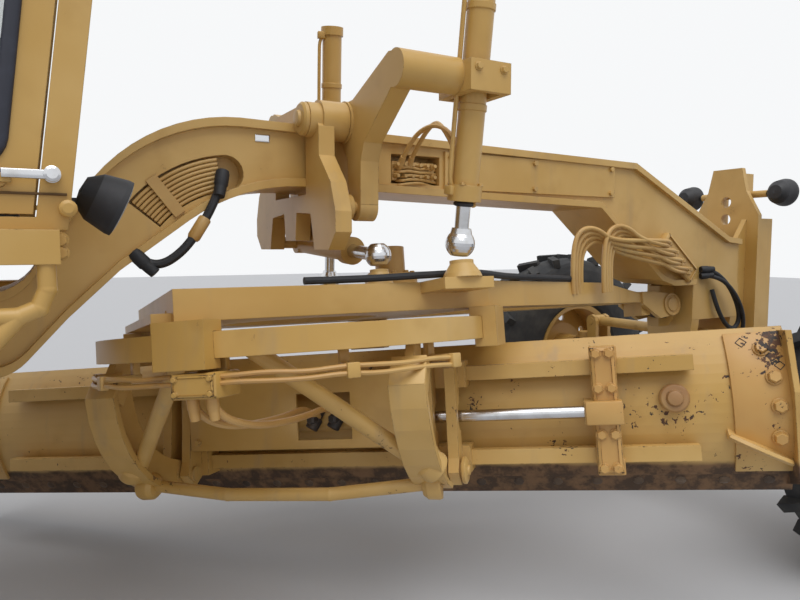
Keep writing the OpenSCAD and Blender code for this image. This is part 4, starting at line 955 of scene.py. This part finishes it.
def bentPlate(y0, y1, inner, outer, low, high):
    # a plate bent round the blade's back: its end face is spun about the blade's middle
    middle = Vector((blade["x"], 0, blade["z"]))
    start = Vector((math.cos(math.radians(low)), 0, math.sin(math.radians(low))))
    bpy.ops.mesh.primitive_plane_add(size=1)
    obj = bpy.context.object
    corners = [(y0, inner), (y1, inner), (y0, outer), (y1, outer)]
    for vertex, (y, radius) in zip(obj.data.vertices, corners):
        vertex.co = middle + start * radius + Vector((0, y, 0))
    bpy.ops.object.mode_set(mode="EDIT")
    bpy.ops.mesh.select_all(action="SELECT")
    bpy.ops.mesh.spin(steps=14, angle=math.radians(high - low), center=middle, axis=(0, 1, 0))
    bpy.ops.mesh.select_all(action="SELECT")
    bpy.ops.mesh.remove_doubles(threshold=0.0001)
    bpy.ops.mesh.normals_make_consistent(inside=False)
    shaped()
    return softened(obj, 0.002, 2)


bands = []
bandSpots = []
holes = []
for end, inward in zip(blade["ends"], (1, -1)):
    reach = sorted((end + inward * 0.002, end + inward * blade["bandWidth"]))
    bands.append(bentPlate(*reach, blade["back"] - 0.002, blade["band"], *blade["bandTurn"]))
    for y, z in blade["bandBolts"]:
        x, facing = onBack(blade["band"], z)
        bandSpots.append(((x, end + inward * y, z), facing))
    # each square hole is a flush black square: painted shade for the hole's dark inside
    for y, z, half in blade["bandHoles"]:
        x, facing = onBack(blade["band"] + 0.0005, z)
        hole = turnedShape([(half, -0.012), (half, 0.0012), (half * 0.86, 0.0014), (half * 0.80, -0.004)], 4)
        holes.append(aimed(hole, (x, end + inward * y, z), facing))
settle(joined(bands), "bladeEndBands", "blade", "wornYellow", circlePlace)
settle(bolts(bandSpots, blade["bandBolt"]), "bladeEndBolts", "blade", "wornYellow", circlePlace)
settle(joined(holes), "bladeHoleShadows", "blade", "black", circlePlace)

bossX, bossWay = onBack(blade["back"], blade["bossZ"])
boss = aimed(turnedShape(bossRings, 28), (bossX, blade["bossY"], blade["bossZ"]), bossWay)
settle(boss, "bladeStopBoss", "blade", "rusty", circlePlace)

strap = {
    "x": (0.000, 0.020),
    "y": (-1.205, -1.115),
    "z": (0.450, 0.905),
    "block": (0.628, 0.712),                # heights of the block that holds the rod
    "feet": (0.875, 0.470),
    "boltIn": 0.022,                        # from the strap's sides
    "boltZ": (0.470, 0.590, 0.755, 0.880),
    "bolt": 0.034,
}
strapLow, strapHigh = strap["y"]
strapPlate = panelled(slab(*zip(strap["x"], strap["y"], strap["z"])), 0, 0.016, -0.006)
strapBits = [strapPlate, slab((-0.040, strapLow - 0.012, strap["block"][0]),
                              (0.030, strapHigh + 0.028, strap["block"][1]), 0.006)]
for z in strap["feet"]:
    strapBits.append(slab((0.012, strapLow - 0.006, z - 0.030), (0.100, strapHigh, z + 0.030), 0.005))
settle(joined(strapBits), "rodStrap", "blade", "wornYellow", circlePlace)
strapSpots = [((-0.006, y, z), (-1, 0, 0)) for y in (strapLow + strap["boltIn"], strapHigh - strap["boltIn"])
              for z in strap["boltZ"]]
settle(bolts(strapSpots, strap["bolt"]), "strapBolts", "blade", "wornYellow", circlePlace)

skidPlate = {"y": -1.565, "z": 0.580, "run": (-0.205, -0.105), "width": 0.085, "off": 0.012, "thick": 0.014}
bpy.ops.mesh.primitive_grid_add(x_subdivisions=10, y_subdivisions=6, size=1)
skid = bpy.context.object
for vertex in skid.data.vertices:
    # a leaf shape: u runs along it, v away from the blade
    u, v = vertex.co.x + 0.5, vertex.co.y + 0.5
    width = skidPlate["width"] * math.sin(math.pi * (0.12 + 0.76 * u)) ** 0.7
    y, z = skidPlate["y"] + skidPlate["run"][0] * u, skidPlate["z"] + skidPlate["run"][1] * u
    x = onBack(blade["back"], z)[0] + skidPlate["off"]
    vertex.co = (x - (0.020 + width) * v, y, z - 0.020 * math.sin(math.pi * v) - 0.018 * v)
wall = skid.modifiers.new("wall", "SOLIDIFY")
wall.thickness = skidPlate["thick"]
settle(applied(skid, wall), "bladeSkid", "blade", "wornYellow", circlePlace)

edge = {
    "tip": (0.250, 0, 0.330),               # the cutting edge's lowest line
    "up": (-0.574, 0, 0.819),
    "out": (0.819, 0, 0.574),
    "thick": 0.016,
    "rows": (0.055, 0.115),
    "count": 24,
    "apart": 0.152,
}
edgeRings = [(0.020, -0.004), (0.020, 0.001), (0.015, 0.0045), (0.006, 0.006)]
edgeSpots = []
for up in edge["rows"]:
    for side in (1, -1):
        start = Vector(edge["tip"]) + Vector(edge["up"]) * up
        if side > 0:
            start += Vector(edge["out"]) * edge["thick"]
        for i in range(edge["count"]):
            along = Vector((0, blade["ends"][0] + 0.080 + edge["apart"] * i, 0))
            edgeSpots.append((start + along, Vector(edge["out"]) * side))
settle(copies(turnedShape(edgeRings, 10), edgeSpots), "edgeBolts", "blade", "edge", circlePlace)
print("blade fittings made")

# carrier: the cover plate between the arms with its opening, ribs and shelf, and its bolts

cover = {
    "x": (-0.078, -0.066),
    "y": (-0.488, -0.215, 0.010, 0.488),    # the plate's ends, with the opening's between them
    "z": (0.575, 0.610, 0.790, 0.875),
    "arch": 0.030,                          # how far the top's corners lie below its middle
    "ribY": (-0.470, 0.470),
    "boltY": (-0.455, 0.455),
    "boltZ": (0.610, 0.815),
    "bolt": 0.026,
}
coverBack, coverFront = cover["x"]
coverFoot, coverTop = cover["z"][0], cover["z"][-1]
bpy.ops.mesh.primitive_grid_add(x_subdivisions=3, y_subdivisions=3, size=3)
plate = bpy.context.object
for vertex in plate.data.vertices:
    column, row = round(vertex.co.x + 1.5), round(vertex.co.y + 1.5)
    vertex.co = (coverFront, cover["y"][column], cover["z"][row])
(right, left), (sill, head) = cover["y"][1:3], cover["z"][1:3]
pick(plate, lambda middle, normal: right < middle.y < left and sill < middle.z < head)     # the opening
bpy.ops.mesh.delete(type="FACE")
bpy.ops.mesh.select_all(action="SELECT")
bpy.ops.mesh.subdivide(number_cuts=4)
moved((coverBack - coverFront, 0, 0))
closed()
shaped()
for vertex in plate.data.vertices:
    if vertex.co.z > coverTop - 0.03:
        vertex.co.z -= cover["arch"] * (vertex.co.y / cover["y"][-1]) ** 2
softened(plate, 0.003, 2)
coverBits = [plate]
for y in cover["ribY"]:
    coverBits.append(slab((-0.070, y - 0.008, coverFoot + 0.02), (-0.056, y + 0.008, coverTop - 0.05)))
coverBits.append(slab((-0.070, cover["y"][0], coverFoot + 0.001), (-0.030, cover["y"][-1], coverFoot + 0.015)))
settle(joined(coverBits), "carrierCover", "carrier", "yellow", circlePlace)
coverSpots = [((coverBack, y, z), (-1, 0, 0)) for y in cover["boltY"] for z in cover["boltZ"]]
settle(bolts(coverSpots, cover["bolt"]), "coverBolts", "carrier", "yellow", circlePlace)
print("carrier cover made")

# circle: lines below the ring with their clamps, junction box, hoses to the tip cylinder, pin caps

ring = {
    "radius": 0.778,
    "z": 0.914,
    "turns": (116, 244, 8),                 # degrees: from, to, step
    "thick": 0.015,
    "lines": ((0, 0), (0.003, -0.022)),     # out and up from the first line
    "wave": 0.005,
    "clamps": (118, 146, 214, 242),
}
ringLines = []
firstTurn, lastTurn, turnStep = ring["turns"]
for i, (out, up) in enumerate(ring["lines"]):
    points = []
    for a in range(firstTurn, lastTurn + 1, turnStep):
        radius, way = ring["radius"] + out, math.radians(a)
        z = ring["z"] + up + ring["wave"] * math.sin(a * 0.3 + i)
        points.append((radius * math.cos(way), radius * math.sin(way), z))
    ringLines.append(hose(points, ring["thick"], 2))
settle(joined(ringLines), "ringLines", "circle", "hoseTan", circlePlace)
clamps = []
for a in ring["clamps"]:
    # a block on the lines, its foot inwards and the foot's rise to the ring
    for radius, low, high in ((ring["radius"], (-0.012, -0.020, -0.034), (0.014, 0.020, 0.012)),
                              (ring["radius"] - 0.008, (-0.115, -0.016, -0.012), (0.0, 0.016, 0.010)),
                              (ring["radius"] - 0.106, (-0.012, -0.016, 0.0), (0.012, 0.016, 0.052))):
        spot = (radius * math.cos(math.radians(a)), radius * math.sin(math.radians(a)), ring["z"])
        clamps.append(turned(slab(low, high), spot, a, "Z"))
settle(joined(clamps), "ringClamps", "circle", "yellow", circlePlace)

junction = {
    "x": (-0.805, -0.660),
    "half": 0.075,
    "z": (0.850, 0.926),
    "neck": ((-0.700, -0.050, 0.900), (-0.672, 0.050, 0.966)),
    "boltY": (-0.058, 0.058),
    "boltZ": (0.866, 0.910),
    "bolt": 0.018,
}
junctionCorners = list(zip(junction["x"], (-junction["half"], junction["half"]), junction["z"]))
junctionBox = panelled(slab(*junctionCorners, 0.006), 0, 0.012, -0.004)
junctionSpots = [((junction["x"][0] - 0.004, y, z), (-1, 0, 0))
                 for y in junction["boltY"] for z in junction["boltZ"]]
junctionBits = [junctionBox, slab(*junction["neck"], 0.004), bolts(junctionSpots, junction["bolt"])]
settle(joined(junctionBits), "junctionBox", "circle", "yellow", circlePlace)

tipLines = {
    "thick": 0.024,
    "routes": ((-0.035, -0.150, 0.700), (0.030, -0.060, 0.690)),    # Y at the box, Y and Z at the fitting
}
tips = []
for y0, y1, z1 in tipLines["routes"]:
    tips.append(hose([
        (-0.765, y0, 0.860), (-0.755, y0, 0.800), (-0.620, (y0 + y1) / 2, 0.740), (-0.380, y1, 0.735),
        (-0.170, y1, 0.745), (-0.080, y1, z1 + 0.020), (-0.030, y1, z1)], tipLines["thick"], ends=(0, -1)))
tip = settle(joined(tips), "tipHoses", None, "hoseTan", circlePlace)
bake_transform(tip)

elbowRings = [(0.024, 0), (0.026, 0.004), (0.026, 0.045), (0.018, 0.050), (0.018, 0.085)]
plugRings = [(0.020, 0), (0.020, 0.030), (0.014, 0.036)]
greasyBits = []
for y in (-0.150, -0.060):
    greasyBits.append(aimed(turnedShape(elbowRings, 12), (-0.060, y + 0.020, 0.650), (0.3, -0.3, 0.6)))
    greasyBits.append(aimed(turnedShape(plugRings, 6), (-0.062, y, 0.690), (-1, 0.3, 0)))
settle(joined(greasyBits), "greasyFittings", "carrier", "steel", circlePlace)

arms = {
    "pin": (-0.050, 0.633, 0.480),
    # the cast collars on an arm: middle, and the way it faces
    "collars": (((-0.330, 0.575, 0.560), (-0.338, -0.43, 0.425)),
                ((-0.255, 0.560, 0.478), (-0.05, -0.36, -0.025))),
    "y": 0.560,
    "flangeFoot": (-0.512, 0.836),          # X and Z
    "flangeHead": (-0.452, 0.924),
    "flangeWidth": 0.118,
    "flangeThick": 0.022,
    "ribY": (-0.048, 0.048),
}
armCapRings = [(0.048, 0), (0.050, 0.004), (0.050, 0.012), (0.040, 0.018), (0.020, 0.019), (0.018, 0.026),
               (0.010, 0.028)]
armCollarRings = [(0.052, -0.030), (0.055, -0.020), (0.050, 0.018), (0.036, 0.034)]
armCaps = []
for side in (-1, 1):
    armCaps.append(aimed(turnedShape(armCapRings, 28), mirrored(arms["pin"], side), (0, side, 0)))
    for middle, way in arms["collars"]:
        armCaps.append(aimed(turnedShape(armCollarRings, 28), mirrored(middle, side), mirrored(way, side)))
settle(joined(armCaps), "armCaps", "circle", "yellow", circlePlace)
print("circle fittings made")

# arms: the flange carried up to the ring, with two ribs on it

(footX, footZ), (headX, headZ) = arms["flangeFoot"], arms["flangeHead"]
flangeLength = math.hypot(headX - footX, headZ - footZ)
flangeSlant = math.degrees(math.atan2(headX - footX, headZ - footZ))
halfThick, halfWidth = arms["flangeThick"] / 2, arms["flangeWidth"] / 2
flanges = []
for side in (-1, 1):
    y = side * arms["y"]
    flange = slab((-halfThick, -halfWidth, 0), (halfThick, halfWidth, flangeLength), 0.004)
    flanges.append(turned(flange, (footX, y, footZ), flangeSlant, "Y"))
    for ribY in arms["ribY"]:
        rib = slab((0, -0.007, 0), (0.050, 0.007, flangeLength))
        flanges.append(turned(rib, (footX + 0.010, y + ribY, footZ), flangeSlant, "Y"))
settle(joined(flanges), "armFlanges", "circle", "carrier", circlePlace)

# drawbar: bolts of the shoes and of the gear case, black wrapped hose, caps of the ball's pin

drawbar = {
    "shoeX": (-0.560, -0.420, 0.140, 0.600),    # from the circle's middle
    "shoeY": (-0.350, 0.350),
    "shoeZ": 1.110,
    "shoeBolt": 0.030,
    "gearX": 0.420,
    "gearRadius": 0.095,
    "gearZ": 1.260,
    "gearCount": 10,
    "gearBolt": 0.022,
    "pinCap": 0.088,
    "hose": [(0.98, -0.500, 1.196), (1.20, -0.495, 1.198), (1.40, -0.545, 1.202), (1.58, -0.610, 1.202),
             (1.70, -0.560, 1.196), (1.84, -0.470, 1.196), (2.06, -0.400, 1.196), (2.30, -0.300, 1.196)],
    "hoseThick": 0.026,
}
pinCapRings = [(0.056, -0.004), (0.060, 0.002), (0.060, 0.008), (0.050, 0.009), (0.047, 0.004), (0.038, 0.004),
               (0.035, 0.010), (0.022, 0.011)]
shoeSpots = [((rest["circleX"] + x, y, drawbar["shoeZ"]), (0, 0, 1))
             for x in drawbar["shoeX"] for y in drawbar["shoeY"]]
gearMiddle = Vector((rest["circleX"] + drawbar["gearX"], 0, drawbar["gearZ"]))
gearSpots = []
for i in range(drawbar["gearCount"]):
    a = 2 * math.pi * i / drawbar["gearCount"]
    gearSpots.append((gearMiddle + Vector((math.cos(a), math.sin(a), 0)) * drawbar["gearRadius"], (0, 0, 1)))
drawbarBits = [bolts(shoeSpots, drawbar["shoeBolt"]), bolts(gearSpots, drawbar["gearBolt"])]
settle(joined(drawbarBits), "drawbarBolts", "drawbar", "yellow", drawbarPlace)
wrapped = hose(drawbar["hose"], drawbar["hoseThick"])
settle(wrapped, "drawbarHoseRun", "drawbar", "hoseBlack", drawbarPlace)
pinSpots = [(ballPlace + Vector((0, side * drawbar["pinCap"], 0)), (0, side, 0)) for side in (-1, 1)]
pinCapPair = copies(turnedShape(pinCapRings, 36), pinSpots)
settle(pinCapPair, "ballPinCaps", "drawbar", "tan", drawbarPlace)
bpy.data.objects.remove(bolt)
print("drawbar fittings made")

# floor

bpy.ops.mesh.primitive_plane_add(size=60, location=(0, 0, -0.002))
floor = bpy.context.object
floor.name = "floor"
f = Finish("paleFloor")
darker = tuple(c * 0.94 for c in light["floor"])
cloudy = f.mix(f.noise(3.0, 3) * 0.3, light["floor"], darker)
floor.data.materials.append(f.wear(Base_Color=cloudy, Roughness=0.75))
